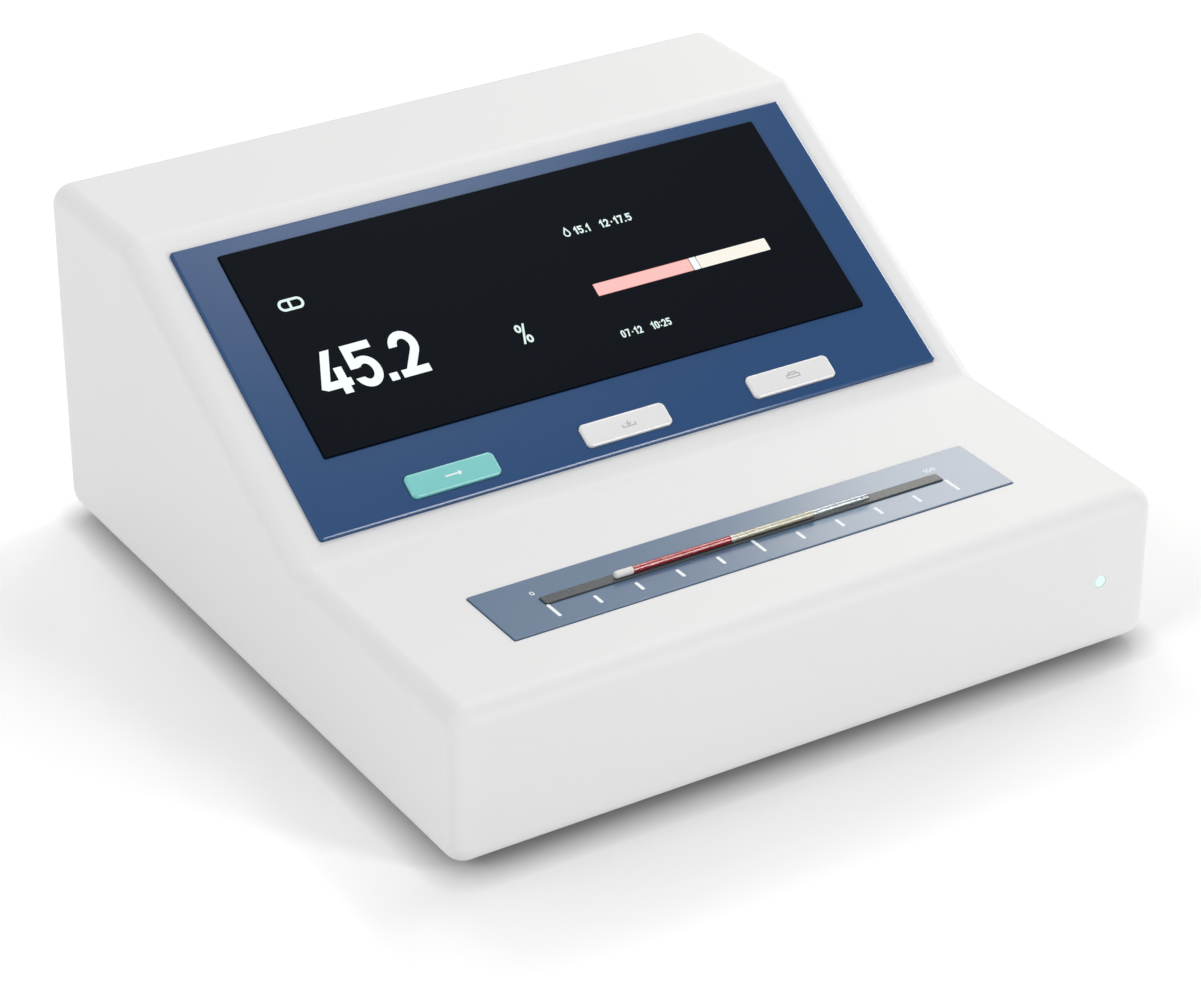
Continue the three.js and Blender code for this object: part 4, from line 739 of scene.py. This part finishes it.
# Spun tube: a rounded outline with a line where its layers meet
def tubeSymbol(x, y, stroke, levels):
    bend, middle, half = screen["tubeBend"], (y[0] + y[1]) / 2, (y[1] - y[0]) / 2
    outline = np.concatenate([arc(x[1] - bend, middle, bend, half, -90, 90),
                              arc(x[0] + bend, middle, bend, half, 90, 270)])
    layer = x[0] + screen["tubeLayer"] * (x[1] - x[0])
    return joined(
        ribbon(outline, stroke, *levels, closed=True),
        ribbon([(layer, y[0]), (layer, y[1])], stroke, *levels),
    )


# Drop: a circle below, two straight sides up to its tip
def dropSymbol(x, y, height, stroke, levels):
    radius = height * 0.32
    path = np.concatenate([arc(x, y + radius, radius, radius, 150, 390, 14), [[x, y + height]]])
    return ribbon(path, stroke, *levels, closed=True)


# Part of the bar: its inner field stands a hair over a rim of another tint
def barPart(name, x, radius, fieldFinish, rimFinish=None):
    low, high = screen["levels"]
    rows, rim = screen["barRows"], screen["rim"] if rimFinish else 0
    if rimFinish:
        addMark(f"{name}_rim", flatBar(x, rows, (low, high), radius), rimFinish)
    inner = (x[0] + rim, x[1] - rim), (rows[0] + rim, rows[1] - rim)
    field = flatBar(*inner, (low, high + screen["fieldRise"]), radius)
    addMark(name, field, fieldFinish)


def addScreen():
    s, levels = screen, screen["levels"]
    line = [numberShape(text, start, *s["lineDigit"], levels) for text, start in s["line"].items()]
    foot = [numberShape(text, start, *s["footDigit"], levels) for text, start in s["foot"].items()]
    number = numberShape(s["number"], s["start"], s["digit"], s["stroke"], s["gap"], levels)
    marks = {
        "big_number": (number, "screenWhite"),
        "percent_sign": (percentShape(s["share"], s["shareStroke"], levels), "screenMint"),
        "tube_symbol": (tubeSymbol(*s["tube"], s["tubeStroke"], levels), "screenMint"),
        "upper_numbers": (joined(dropSymbol(*s["drop"], levels), *line), "screenMint"),
        "lower_numbers": (joined(*foot), "screenMint"),
    }
    for name, (shape, finishName) in marks.items():
        addMark(name, shape, finishName)
    barPart("bar_red", s["red"], 0.12, "screenRed", "screenRedEdge")
    barPart("bar_white", s["white"], 0.05, "screenWhite")
    barPart("bar_cream", s["cream"], 0.3, "screenCream", "screenCreamEdge")


# Symbols of the white keys: their lines about the symbol's middle, and whether each line closes. An arrow
# points into a tray, and a sheet comes out of a feeder
symbols = {
    "levels": (keys["top"] - 0.1, keys["top"] + 0.02), "shift": 0.6, "stroke": 0.3,
    "arrowStart": -2.3, "arrowLength": 4.9, "arrowStroke": 0.45, "arrowHead": (1.1, 0.8, 0.08),
    "save": [
        ([(0, 0.9), (0, -0.1)], False), ([(-0.7, 0.1), (0, -0.45), (0.7, 0.1)], False),
        ([(-1.9, 0), (-1.9, -0.85), (1.9, -0.85), (1.9, 0)], False),
    ],
    "print": [
        ([(-1.9, -0.6), (-1.9, 0.3), (1.9, 0.3), (1.9, -0.6)], True),
        ([(-1.1, 0.3), (-1.1, 0.95), (1.1, 0.95), (1.1, 0.3)], False),
    ],
}


# Arrow: a line and a filled head
def arrowShape(x, y, length, levels):
    back, half, radius = symbols["arrowHead"]
    head = np.array([(x + length, y), (x + length - back, y + half), (x + length - back, y - half)])
    outline = roundedPolygon(head, [radius] * 3, 2)
    return joined(ribbon([(x, y), (x + length - 1, y)], symbols["arrowStroke"], *levels),
                  plate(outline, (0, 0), straight(*levels)))


def keySymbol(name, x):
    s, y = symbols, keys["row"]
    if name == "read":
        return arrowShape(x + s["arrowStart"], y, s["arrowLength"], s["levels"])
    middle = (x + s["shift"], y)
    lines = [ribbon(np.add(path, middle), s["stroke"], *s["levels"], closed) for path, closed in s[name]]
    return joined(*lines)


addScreen()
for name, x in keys["places"].items():
    inkName, slot = ("whiteInk", "key_teal") if name == "read" else ("greyInk", "key_white")
    addMark(f"{name}_symbol", keySymbol(name, x), inkName, f"{name}_button")
print("marks made")


# Scale plate, strip and tube

slotCut = slab(deck["strip"], deck["stripMiddle"],
               flaredMouth(deck["low"] - overrun, deck["top"], deck["slotLip"]), housing["play"])
plateSide = softEdges(deck["low"], deck["top"], deck["edge"])
addPiece("scale_plate", slab(deck["plate"], deck["middle"], plateSide), "body", "polishedAcrylic",
         ["deck_plate"], [("DIFFERENCE", [slotCut])])
stripSide = softEdges(deck["stripLow"], deck["stripTop"], deck["stripEdge"])
addPiece("tube_strip", slab(deck["strip"], deck["stripMiddle"], stripSide), "body", "smokedStrip",
         ["scan_window"])

scale = {
    "ticks": 11, "every": 5, "first": -58.45, "pitch": 11.828, "width": 0.95, "corner": 0.45,
    "long": (-79.8, -73.5), "short": (-79.7, -75.8), "levels": (45.9, 46.02),
    "ends": {"0": (-59.5, -68.0), "100": (57.6, -68.2)}, "digit": ((1.15, 1.7), 0.3, 0.25),
}


def scaleShape():
    s = scale
    ticks = []
    for i in range(s["ticks"]):
        rows = s["long"] if i % s["every"] == 0 else s["short"]
        x = s["first"] + i * s["pitch"]
        ticks.append(flatBar((x - s["width"] / 2, x + s["width"] / 2), rows, s["levels"], s["corner"]))
    ends = [numberShape(text, start, *s["digit"], s["levels"]) for text, start in s["ends"].items()]
    return joined(*ticks, *ends)


addMark("scale_marks", scaleShape(), "whiteInk", place=facingUp)

# Tube: its glass, a seal that is a sleeve over its end with a plug inside, and the layers of the spun blood.
# Each layer reaches a hair into the glass, so no film of air shows between them
tube = {
    "start": -38.5, "end": 36.5, "y": -72.2, "z": 47.34, "radius": 0.9, "bore": 0.6, "polish": 0.12,
    "sealRadius": 0.94, "sealRound": 0.5, "sealEnd": -33.5, "sealFloor": 0.8, "plugEnd": -34.4, "gap": 0.03,
    "intoGlass": 0.02, "layerEdge": 0.04, "endGap": 0.05, "rounding": 0.3, "sleeveTip": (0.15, 0.08),
    "plugTip": (0.1, 0.15),
    "layers": {
        "red_cells": ((-34.35, -4.75), "redCells", "red_cells", "red_cell_column"),
        "buffy_band": ((-4.7, -3.55), "buffyLayer", "buffy_layer", "buffy_coat"),
        "plasma_layer": ((-3.5, 19.9), "plasma", "plasma_straw", "plasma_column"),
    },
}


# Tube wall, from the bore round the outside and back: the open end is a little rounder than the sealed one
def glassProfile():
    t = tube
    polish, radius, bore = t["polish"], t["radius"], t["bore"]
    low, high = t["start"] + t["sealFloor"] + t["endGap"], t["end"]
    step = polish * t["rounding"]
    return [
        (low + polish, bore), (low, bore + polish), (low, radius - polish), (low + polish, radius),
        (high - polish, radius), (high - step, radius - step), (high, radius - polish),
        (high, bore + polish), (high - step, bore + step), (high - polish, bore),
    ]


def sealProfile():
    t = tube
    outer, inner = t["radius"] + t["gap"], t["bore"] - t["gap"]
    floor = t["start"] + t["sealFloor"]
    sleeve, plug = t["sleeveTip"], t["plugTip"]
    turn = np.linspace(0, np.pi / 2, 6)[:, None]
    cap = np.hstack([t["start"] + t["sealRound"] * (1 - np.sin(turn)),
                     t["sealRadius"] - t["sealRound"] * (1 - np.cos(turn))])[::-1]
    return [
        *cap, (t["sealEnd"] - sleeve[0], t["sealRadius"]), (t["sealEnd"], t["sealRadius"] - sleeve[1]),
        (t["sealEnd"], outer), (floor, outer), (floor, inner), (t["plugEnd"] - plug[0], inner),
        (t["plugEnd"], t["bore"] - plug[1]),
    ]


def addTube():
    t = tube
    place = alongX(t["y"], t["z"])
    addPiece("tube_glass", turned(glassProfile(), closed=True), "blood_tube", "drawnGlass",
             ["capillary_tube"], place=place)
    addPiece("tube_clay", turned(sealProfile()), "blood_tube", "sealingClay", ["tube_seal"],
             place=place)
    radius, edge = t["bore"] + t["intoGlass"], t["layerEdge"]
    for name, ((low, high), finishName, slot, node) in t["layers"].items():
        profile = [(low, radius - edge), (low + edge, radius), (high - edge, radius), (high, radius - edge)]
        addPiece(name, turned(profile), "blood_tube", finishName, [node], place=place)


addTube()
print("tube made")


# Status light and feet

def lightProfile():
    s, front = statusLight, housing["front"]
    radius, flange, bevel = s["radius"], s["flange"], 0.1
    dome = [(0, 0.5), (0.03, 0.8), (0.15, 0.97), (0.3, 1)]
    return [
        *[(front + depth, radius * share) for depth, share in dome],
        (s["flangeY"] - bevel, radius), (s["flangeY"], flange - bevel), (s["flangeY"] + bevel, flange),
        (s["inner"] - bevel, flange), (s["inner"], flange - bevel),
    ]


addPiece("light_pipe", turned(lightProfile()), "body", "litPipe", ["status_light_pipe"],
         place=alongY(statusLight["x"], statusLight["z"]))

footProfile = [(0.35, 5.2), (0.05, 5.4), (0, 5.7), (0, 7.2), (0.15, 7.75), (0.5, 8), (2.9, 8), (3.05, 7.9)]
for name in ("front_left", "front_right", "rear_left", "rear_right"):
    low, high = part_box(f"foot_{name}")
    middle = (low + high) / 2 / millimetre
    addPiece(f"rubber_foot_{name}", turned(footProfile, 64), "body", "mouldedRubber",
             [f"foot_{name}"], place=above(middle.x, middle.y))
print("base pieces made")


# Back: panel, mains inlet, rocker switch and data socket. A span is a pair of depths along Y, and a place is
# along X and Z

sockets = {
    "seat": 99.1, "overlap": 0.3, "play": 0.15,
    "inlet": {
        "middle": (-33, 28.5), "flange": (30.6, 22.6, 2.5), "body": (27.2, 19.2, 2.5), "back": 84.8,
        "front": 101.3, "edge": 0.6, "foot": 0.6, "floor": 86.8, "lip": 0.35,
    },
    "mouth": (24.2, 16.2, (4.6, 4.6), 0.8),
    "pin": (2, 4, 0.5), "pinSpan": (85.9, 98.8), "pinEdge": 0.4,
    "pins": [(-40, 26.5), (-26, 26.5), (-33, 30.5)],
    "switch": {
        "middle": (0, 28.5), "flange": (15, 21, 1.2), "body": (12.8, 18.8, 0.6), "back": 88.1,
        "front": 101.1, "edge": 0.5, "foot": 0.4, "floor": 89.6, "lip": 0.2,
    },
    "hollow": (10.2, 16.2, 0.4), "bearing": 1.3,
    "port": (38, 18.1), "portSize": (12, 11), "portBevel": (2.2, 2.4), "portSpan": (83.65, 99.65),
    "portFloor": 89.65, "portWall": 0.8, "portEdges": (0.25, 0.1), "portLip": 0.2,
    "tongue": (5.6, 3.2, 0.3), "tongueSpan": (88.4, 97.65), "tongueEdge": 0.2,
    "contact": (1, 0.3, 0.05), "contactSpan": (90, 97), "contactEdge": 0.04, "contactAt": (1.25, 1.53),
}


# Rectangle whose two upper corners are cut off
def cutCorners(width, height, cut, radius):
    x, y = width / 2, height / 2
    across, down = cut
    corners = [(-x, -y), (x, -y), (x, y - down), (x - across, y), (across - x, y), (-x, y - down)]
    return roundedPolygon(corners, [radius] * 6, 4)


# Outline of the data socket, grown by some play on each side
def portOutline(play, radius):
    width, height = sockets["portSize"]
    return cutCorners(width + 2 * play, height + 2 * play, sockets["portBevel"], radius)


def addRearSheet():
    s, r = sockets, rear
    low, high = r["panelRows"]
    size = (r["panelWidth"], high - low, r["panelCorner"])
    sheet = slab(size, (0, (low + high) / 2), softEdges(*r["panelSpan"], r["panelEdge"]))
    side = flaredMouth(r["panelSpan"][0] - overrun, r["panelSpan"][1], r["holeLip"])
    holes = [slab(s[part]["body"], s[part]["middle"], side, s["play"]) for part in ("inlet", "switch")]
    holes.append(plate(portOutline(s["play"], 0.6), s["port"], side))
    addPiece("rear_sheet", sheet, "body", "greyAbs", ["rear_panel"], [("DIFFERENCE", holes)],
             facingBack)


# Housing of a socket or switch: a flange on the panel, a body behind it, and a hollow from the front
def addSocket(name, node, part, outline, holes=()):
    s = sockets
    p = s[part]
    flange = slab(p["flange"], p["middle"], softEdges(s["seat"], p["front"], p["edge"], steps=5))
    body = slab(p["body"], p["middle"], softEdges(p["back"], s["seat"] + s["overlap"], 0, p["foot"]))
    hollow = plate(outline, p["middle"], flaredMouth(p["floor"], p["front"], p["lip"]))
    addPiece(name, flange, "body", "blackNylon", [node],
             [("UNION", [body]), ("DIFFERENCE", [hollow, *holes])], facingBack)


def addInlet():
    s = sockets
    addSocket("inlet_shell", "power_inlet", "inlet", cutCorners(*s["mouth"]))
    side = softEdges(*s["pinSpan"], s["pinEdge"], steps=5)
    pins = [slab(s["pin"], middle, side) for middle in s["pins"]]
    addPiece("inlet_pins", joined(*pins), "body", "nickelShell", place=facingBack)


tilt = np.radians(8)  # of the rocker at rest
pivot = sockets["switch"]["middle"][1]
rockerFrame = ((0, sockets["seat"], pivot),
               [(0, np.cos(tilt), np.sin(tilt)), (0, -np.sin(tilt), np.cos(tilt)), (1, 0, 0)])
rocker = {
    "half": 7.6, "proud": 2.6, "dip": 0.8, "width": 9.4, "inner": (-3.4, 4), "points": 17, "softened": 10,
    "ends": [0.45, 0.45, 0.5], "edge": 0.35, "pin": 1.2, "pinReach": 5.6, "pinBevel": 0.2,
    "markAt": 3.9, "markHalf": 1.5, "markRing": 1.35, "markStroke": 0.45, "markLevels": (-0.12, 0.03),
}


def addSwitch():
    s = sockets
    reach = rocker["pinReach"] + s["play"]
    bearing = turned([(-reach, s["bearing"]), (reach, s["bearing"])], 24)
    across = (0, pivot, s["seat"]), [(0, 0, 1), (0, 1, 0), (1, 0, 0)]
    addSocket("switch_frame", "switch_housing", "switch", roundedRectangle(*s["hollow"]),
              [inFrame(bearing, across)])


# Rocker: its outer side is the parabola proud - dip (1 - (t / half)^2), carried across its width
def addRocker():
    r = rocker
    half, (depth, waist) = r["half"], r["inner"]
    along = np.linspace(-half, half, r["points"])
    outer = np.stack([r["proud"] - r["dip"] * (1 - (along / half) ** 2), along], axis=1)
    corners = np.concatenate([[(depth, -waist), (0, -half)], outer, [(0, half), (depth, waist)]])
    radii = r["ends"] + [r["softened"]] * (r["points"] - 2) + r["ends"][::-1]
    side = softEdges(-r["width"] / 2, r["width"] / 2, r["edge"], r["edge"])
    reach, radius, bevel = r["pinReach"], r["pin"], r["pinBevel"]
    pin = turned([(-reach, radius - bevel), (-reach + bevel, radius), (reach - bevel, radius),
                  (reach, radius - bevel)], 24)
    cap = plate(roundedPolygon(corners, radii, 3), (0, 0), side)
    addPiece("rocker_cap", cap, "power_rocker", "satinNylon", ["switch_rocker"],
             [("UNION", [pin])], rockerFrame)


# On and off marks: a stroke and a ring of white ink, each on the rocker's own slope
def addRockerMarks():
    r = rocker
    stroke = [(0, -r["markHalf"]), (0, r["markHalf"])]
    ring = oval(0, 0, r["markRing"], r["markRing"])
    shapes = []
    for at, path, closed in ((r["markAt"], stroke, False), (-r["markAt"], ring, True)):
        slope = 2 * r["dip"] * at / r["half"] ** 2
        out, up = unit(np.array([1, -slope])), unit(np.array([slope, 1]))
        surface = np.array([r["proud"] - r["dip"] * (1 - (at / r["half"]) ** 2), at, 0])
        mark = ribbon(path, r["markStroke"], *r["markLevels"], closed)
        shapes.append(inFrame(mark, (surface, [(0, 0, 1), (*up, 0), (*out, 0)])))
    addPiece("rocker_marks", joined(*shapes), "power_rocker", "whiteInk", place=rockerFrame)


def addPort():
    s = sockets
    shell = plate(portOutline(0, 0.5), s["port"], softEdges(*s["portSpan"], *s["portEdges"]))
    side = flaredMouth(s["portFloor"], s["portSpan"][1], s["portLip"])
    hollow = plate(portOutline(-s["portWall"], 0.3), s["port"], side)
    addPiece("port_shell", shell, "body", "nickelShell", ["usb_port"],
             [("DIFFERENCE", [hollow])], facingBack)
    tongue = slab(s["tongue"], s["port"], softEdges(*s["tongueSpan"], s["tongueEdge"]))
    addPiece("port_tongue", tongue, "body", "blackNylon", place=facingBack)
    x, z = s["contactAt"]
    side = softEdges(*s["contactSpan"], s["contactEdge"])
    places = [np.add(s["port"], (dx, dz)) for dx in (-x, x) for dz in (-z, z)]
    contacts = [slab(s["contact"], middle, side) for middle in places]
    addPiece("port_contacts", joined(*contacts), "body", "turnedBrass", place=facingBack)


addRearSheet()
addInlet()
addSwitch()
addRocker()
addRockerMarks()
addPort()
print("back made")


# Screws: pan heads with a cross, and threads

fastener = {
    "head": [
        (0, 1.7), (0.06, 2.1), (0.25, 2.42), (0.5, 2.57), (0.75, 2.6), (1.1, 2.6), (1.2, 2.5), (1.2, 1.15),
    ],
    "headHeight": 1.2, "longShank": 8, "shortShank": 5, "tip": [(-0.1, 0.25), (0, 0.1)],
    "thread": {"core": 1.0, "ridge": 0.28, "pitch": 0.8}, "threadStart": 1.3, "threadEnd": 0.9,
    "cross": (0.7, 3.2), "crossCorner": 0.15, "crossTaper": 0.1, "crossDepth": 0.6,
}
drive = {
    "y": -71.8, "z": 26.45, "shoulder": 66.4, "ends": (-69.55, 91.1), "journal": 1.2, "bevel": 0.1,
    "thread": {"core": 1.62, "ridge": 0.38, "pitch": 2.0}, "threadGap": 0.05,
}


# Threaded rod: at height z and angle t the radius is the core plus the ridge times a triangle wave of
# z / pitch - t / 2 pi, so the ridge climbs by one pitch in each turn and fades out at both ends
def threaded(before, span, after, core, ridge, pitch, sides=24, ringsPerTurn=8):
    height = np.linspace(*span, int(round((span[1] - span[0]) / pitch * ringsPerTurn)) + 1)
    angle, ring = circle(sides)
    phase = (height[:, None] / pitch - angle / (2 * np.pi)) % 1
    fade = np.clip(np.minimum(height - span[0], span[1] - height) / pitch, 0, 1)
    radius = core + ridge * fade[:, None] * (1 - np.abs(2 * phase - 1))
    before, after = np.array(before, float), np.array(after, float)
    plain = [np.broadcast_to(rows[:, 1:], (len(rows), sides)) for rows in (before, after)]
    radius = np.concatenate([plain[0], radius, plain[1]])
    height = np.concatenate([before[:, 0], height, after[:, 0]])
    return loft(raised(radius[:, :, None] * ring, height))


# Cross recess with rounded corners, from one quarter of its outline turned four times
def crossRecess():
    f = fastener
    arm, reach = np.array(f["cross"]) / 2
    quarter = np.array([(arm, -reach), (arm, -arm), (reach, -arm)])
    quarterTurn = np.array([[0, 1], [-1, 0]])
    corners = np.concatenate([quarter @ np.linalg.matrix_power(quarterTurn, k) for k in range(4)])
    sections = [(-0.05, -overrun), (0, 0), (f["crossTaper"], f["crossDepth"])]
    return plate(roundedPolygon(corners, [f["crossCorner"]] * 12, 3), (0, 0), sections)


# A screw stands where its node is: head at the low end along the axis that points into its boss
def addScrew(node, axes, shank):
    mesh = frame["nodes"][node].data
    points = np.empty(len(mesh.vertices) * 3)
    mesh.vertices.foreach_get("co", points)
    local = points.reshape(-1, 3) / millimetre @ np.array(axes, float).T
    low, high = local.min(axis=0), local.max(axis=0)
    origin = np.array([(low[0] + high[0]) / 2, (low[1] + high[1]) / 2, low[2]]) @ np.array(axes, float)
    f = fastener
    length = f["headHeight"] + shank
    tip = [(length + height, radius) for height, radius in f["tip"]]
    screw = threaded(f["head"], (f["threadStart"], length - f["threadEnd"]), tip, **f["thread"])
    addPiece(node.replace("screw", "panhead"), screw, "body", "zincSteel", [node],
             [("DIFFERENCE", [crossRecess()])], (origin, axes), sharp=50)


def addDriveRod():
    d = drive
    low, high = d["ends"]
    shoulder, journal, tip = d["shoulder"], d["journal"], d["journal"] - d["bevel"]
    span = (-shoulder + d["threadGap"], shoulder - d["threadGap"])
    before = [(low, tip), (low + d["bevel"], journal), (-shoulder, journal)]
    after = [(shoulder, journal), (high - d["bevel"], journal), (high, tip)]
    addPiece("drive_rod", threaded(before, span, after, **d["thread"]), "drive_screw", "groundSteel",
             ["lead_screw"], place=alongX(d["y"], d["z"]), sharp=50)


for node in [n for n in frame["nodes"] if "_screw_" in n]:
    sloping = node.startswith(("bracket", "keypad"))
    shank = fastener["longShank" if node.startswith("base") else "shortShank"]
    addScrew(node, displayFace[1] if sloping else np.eye(3), shank)
addDriveRod()
print("screws made")


# Carried-over nodes get their own finishes

nodeFinishes = {
    "greyAbs": ["base_plate"],
    "rolledAluminium": ["lcd_module", "scanner_frame"],
    "zincSteel": ["lcd_bracket", "coin_cell"],
    "groundSteel": ["guide_rod_front", "guide_rod_rear"],
    "motorPaint": ["scan_motor"],
    "turnedBrass": ["carriage_nut"],
    "solderMask": ["keypad_board", "main_board", "power_supply_board", "status_led_board"],
    "flatCable": ["display_ribbon"],
    "drawnGlass": ["scan_lens"],
    "blackNylon": [
        "scan_carriage", "optical_head", *[n for n in frame["nodes"] if n.endswith(("_plunger", "_switch"))],
    ],
}
for finishName, nodes in nodeFinishes.items():
    for node in nodes:
        for slot in frame["nodes"][node].material_slots:
            slot.material = materials[finishName]
print("nodes finished:", sum(len(nodes) for nodes in nodeFinishes.values()))


# Floor, light and camera

floor = {
    "half": 3000, "colour": "#FCFCFC", "shadowReach": 9, "shadow": 0.68, "lift": 0.08,
    "wideReach": 55, "wideShadow": 0.42, "lean": (-0.6, 0.78, 0.2),
}


# The floor seen by the camera also fades by how much of its sky is hidden close by, which keeps the contact
# shadow, and by how much is hidden further off, back and to the left, which spreads the soft shadow in front
def floorMaterial():
    material = bpy.data.materials.new("paleFloor")
    material.use_nodes = True
    tree = material.node_tree
    tree.nodes.clear()
    matt = addNode(tree, "BsdfDiffuse", {"Color": linear(floor["colour"])})
    hidden = addNode(tree, "AmbientOcclusion", {"Distance": floor["shadowReach"] * millimetre}, samples=24)
    leaning = addNode(tree, "CombineXYZ", dict(zip("XYZ", floor["lean"])))
    wide = addNode(tree, "AmbientOcclusion", {
        "Distance": floor["wideReach"] * millimetre, "Normal": leaning.outputs[0],
    }, samples=24)
    close = addNode(tree, "Mix", {0: floor["shadow"], 2: 1.0, 3: hidden.outputs["AO"]})
    soft = addNode(tree, "Mix", {0: floor["wideShadow"], 2: 1.0, 3: wide.outputs["AO"]})
    shade = addNode(tree, "Math", {0: close.outputs[0], 1: soft.outputs[0]}, operation="MULTIPLY").outputs[0]
    seenMatt = addNode(tree, "BsdfDiffuse", {"Color": shade})
    glow = addNode(tree, "Emission", {"Color": shade, "Strength": floor["lift"]})
    lit = addNode(tree, "AddShader", {0: seenMatt.outputs[0], 1: glow.outputs[0]})
    rays = addNode(tree, "LightPath")
    seen = addNode(tree, "MixShader", {
        0: rays.outputs["Is Camera Ray"], 1: matt.outputs[0], 2: lit.outputs[0],
    })
    addNode(tree, "OutputMaterial", {"Surface": seen.outputs[0]})
    return material


def addFloor():
    edge = np.linspace(-floor["half"], floor["half"], 5)
    x, y = np.meshgrid(edge, edge)
    index = np.arange(x.size).reshape(x.shape)
    quads = np.stack([index[:-1, :-1], index[:-1, 1:], index[1:, 1:], index[1:, :-1]], axis=2).reshape(-1, 4)
    mesh = bpy.data.meshes.new("floor")
    points = np.stack([x.ravel(), y.ravel(), np.zeros(x.size)], axis=1) * millimetre
    mesh.from_pydata(points.tolist(), [], quads.tolist())
    table = bpy.data.objects.new("floor", mesh)
    bpy.context.scene.collection.objects.link(table)
    mesh.materials.append(floorMaterial())


# Studio: an even dome, and soft lamps whose brightness is given as radiance, where the dome is 1 as the
# camera sees it. Sizes are in metres, and azimuth runs from +Y towards +X. A lamp is a white rectangle that
# gloss mirrors, unless it says otherwise
studio = {
    "dome": 0.4, "distance": 2.5,
    "lamps": {
        "side_softbox": dict(azimuth=43.4, height=31, size=(0.5, 0.7), radiance=5.3, colour=(1, 0.97, 0.89)),
        "top_softbox": dict(azimuth=75.3, height=65.6, size=(0.55, 0.55), radiance=5.3, shape="DISK"),
        "strip_softbox": dict(azimuth=58, height=56.5, size=(0.9, 0.25), radiance=9, roll=-40),
        "front_softbox": dict(azimuth=149, height=20, size=(0.4, 1.7), radiance=10.8),
        "left_softbox": dict(azimuth=262, height=32, size=(1.2, 0.8), radiance=7),
        "back_softbox": dict(
            azimuth=8, height=50, size=(0.8, 0.8), radiance=3.9, shape="DISK", mirrored=False,
        ),
        "edge_softbox": dict(azimuth=33.5, height=41, size=(0.28, 0.24), radiance=7),
        "right_softbox": dict(azimuth=71, height=20, size=(0.7, 0.7), radiance=7.6, shape="DISK"),
    },
}


def addDome():
    world = bpy.data.worlds.new("studio")
    bpy.context.scene.world = world
    world.use_nodes = True
    tree = world.node_tree
    tree.nodes.clear()
    rays = addNode(tree, "LightPath")
    mirrored = addNode(tree, "Math", {
        0: rays.outputs["Is Glossy Ray"], 1: rays.outputs["Is Transmission Ray"],
    }, operation="MAXIMUM")
    seen = addNode(tree, "Math", {
        0: rays.outputs["Is Camera Ray"], 1: mirrored.outputs[0],
    }, operation="MAXIMUM")
    strength = addNode(tree, "Mix", {0: seen.outputs[0], 2: studio["dome"], 3: 1.0})
    sky = addNode(tree, "Background", {"Color": (1, 1, 1, 1), "Strength": strength.outputs[0]})
    addNode(tree, "OutputWorld", {"Surface": sky.outputs[0]})


def addLamp(name, azimuth, height, size, radiance, shape="RECTANGLE", colour=(1, 1, 1), roll=0,
            mirrored=True):
    data = bpy.data.lights.new(name, "AREA")
    data.shape = shape
    data.size, data.size_y = size
    area = data.size * data.size_y * (np.pi / 4 if shape == "DISK" else 1)
    data.energy = np.pi * area * radiance
    data.color = colour
    azimuth, height = np.radians([azimuth, height])
    flat = np.cos(height)
    towards = Vector((np.sin(azimuth) * flat, np.cos(azimuth) * flat, np.sin(height)))
    box = bpy.data.objects.new(name, data)
    rolled = Quaternion((0, 0, 1), np.radians(roll))
    box.rotation_euler = (towards.to_track_quat("Z", "Y") @ rolled).to_euler()
    box.location = towards * studio["distance"]
    box.visible_camera = False
    box.visible_glossy = mirrored
    bpy.context.scene.collection.objects.link(box)


# Camera fitted to the photo: its place in metres and its own three axes
camera = {
    "lens": 116.746, "sensor": 36, "place": (-0.474634, -0.762303, 0.523627),
    "right": (0.8484184, -0.5293191, 0.0027393), "up": (0.2555835, 0.4141824, 0.8735731),
    "back": (-0.4635335, -0.7404554, 0.4866852),
}


def addCamera():
    data = bpy.data.cameras.new("camera")
    data.sensor_width = camera["sensor"]
    data.sensor_fit = "HORIZONTAL"
    data.lens = camera["lens"]
    eye = bpy.data.objects.new("camera", data)
    place = np.eye(4)
    place[:3, :3] = np.array([camera["right"], camera["up"], camera["back"]]).T
    place[:3, 3] = camera["place"]
    eye.matrix_world = Matrix(place.tolist())
    bpy.context.scene.collection.objects.link(eye)
    bpy.context.scene.camera = eye


addFloor()
addDome()
for name, lamp in studio["lamps"].items():
    addLamp(name, **lamp)
addCamera()
bpy.context.scene.view_settings.view_transform = "Standard"
bpy.context.view_layer.update()
print("scene ready")
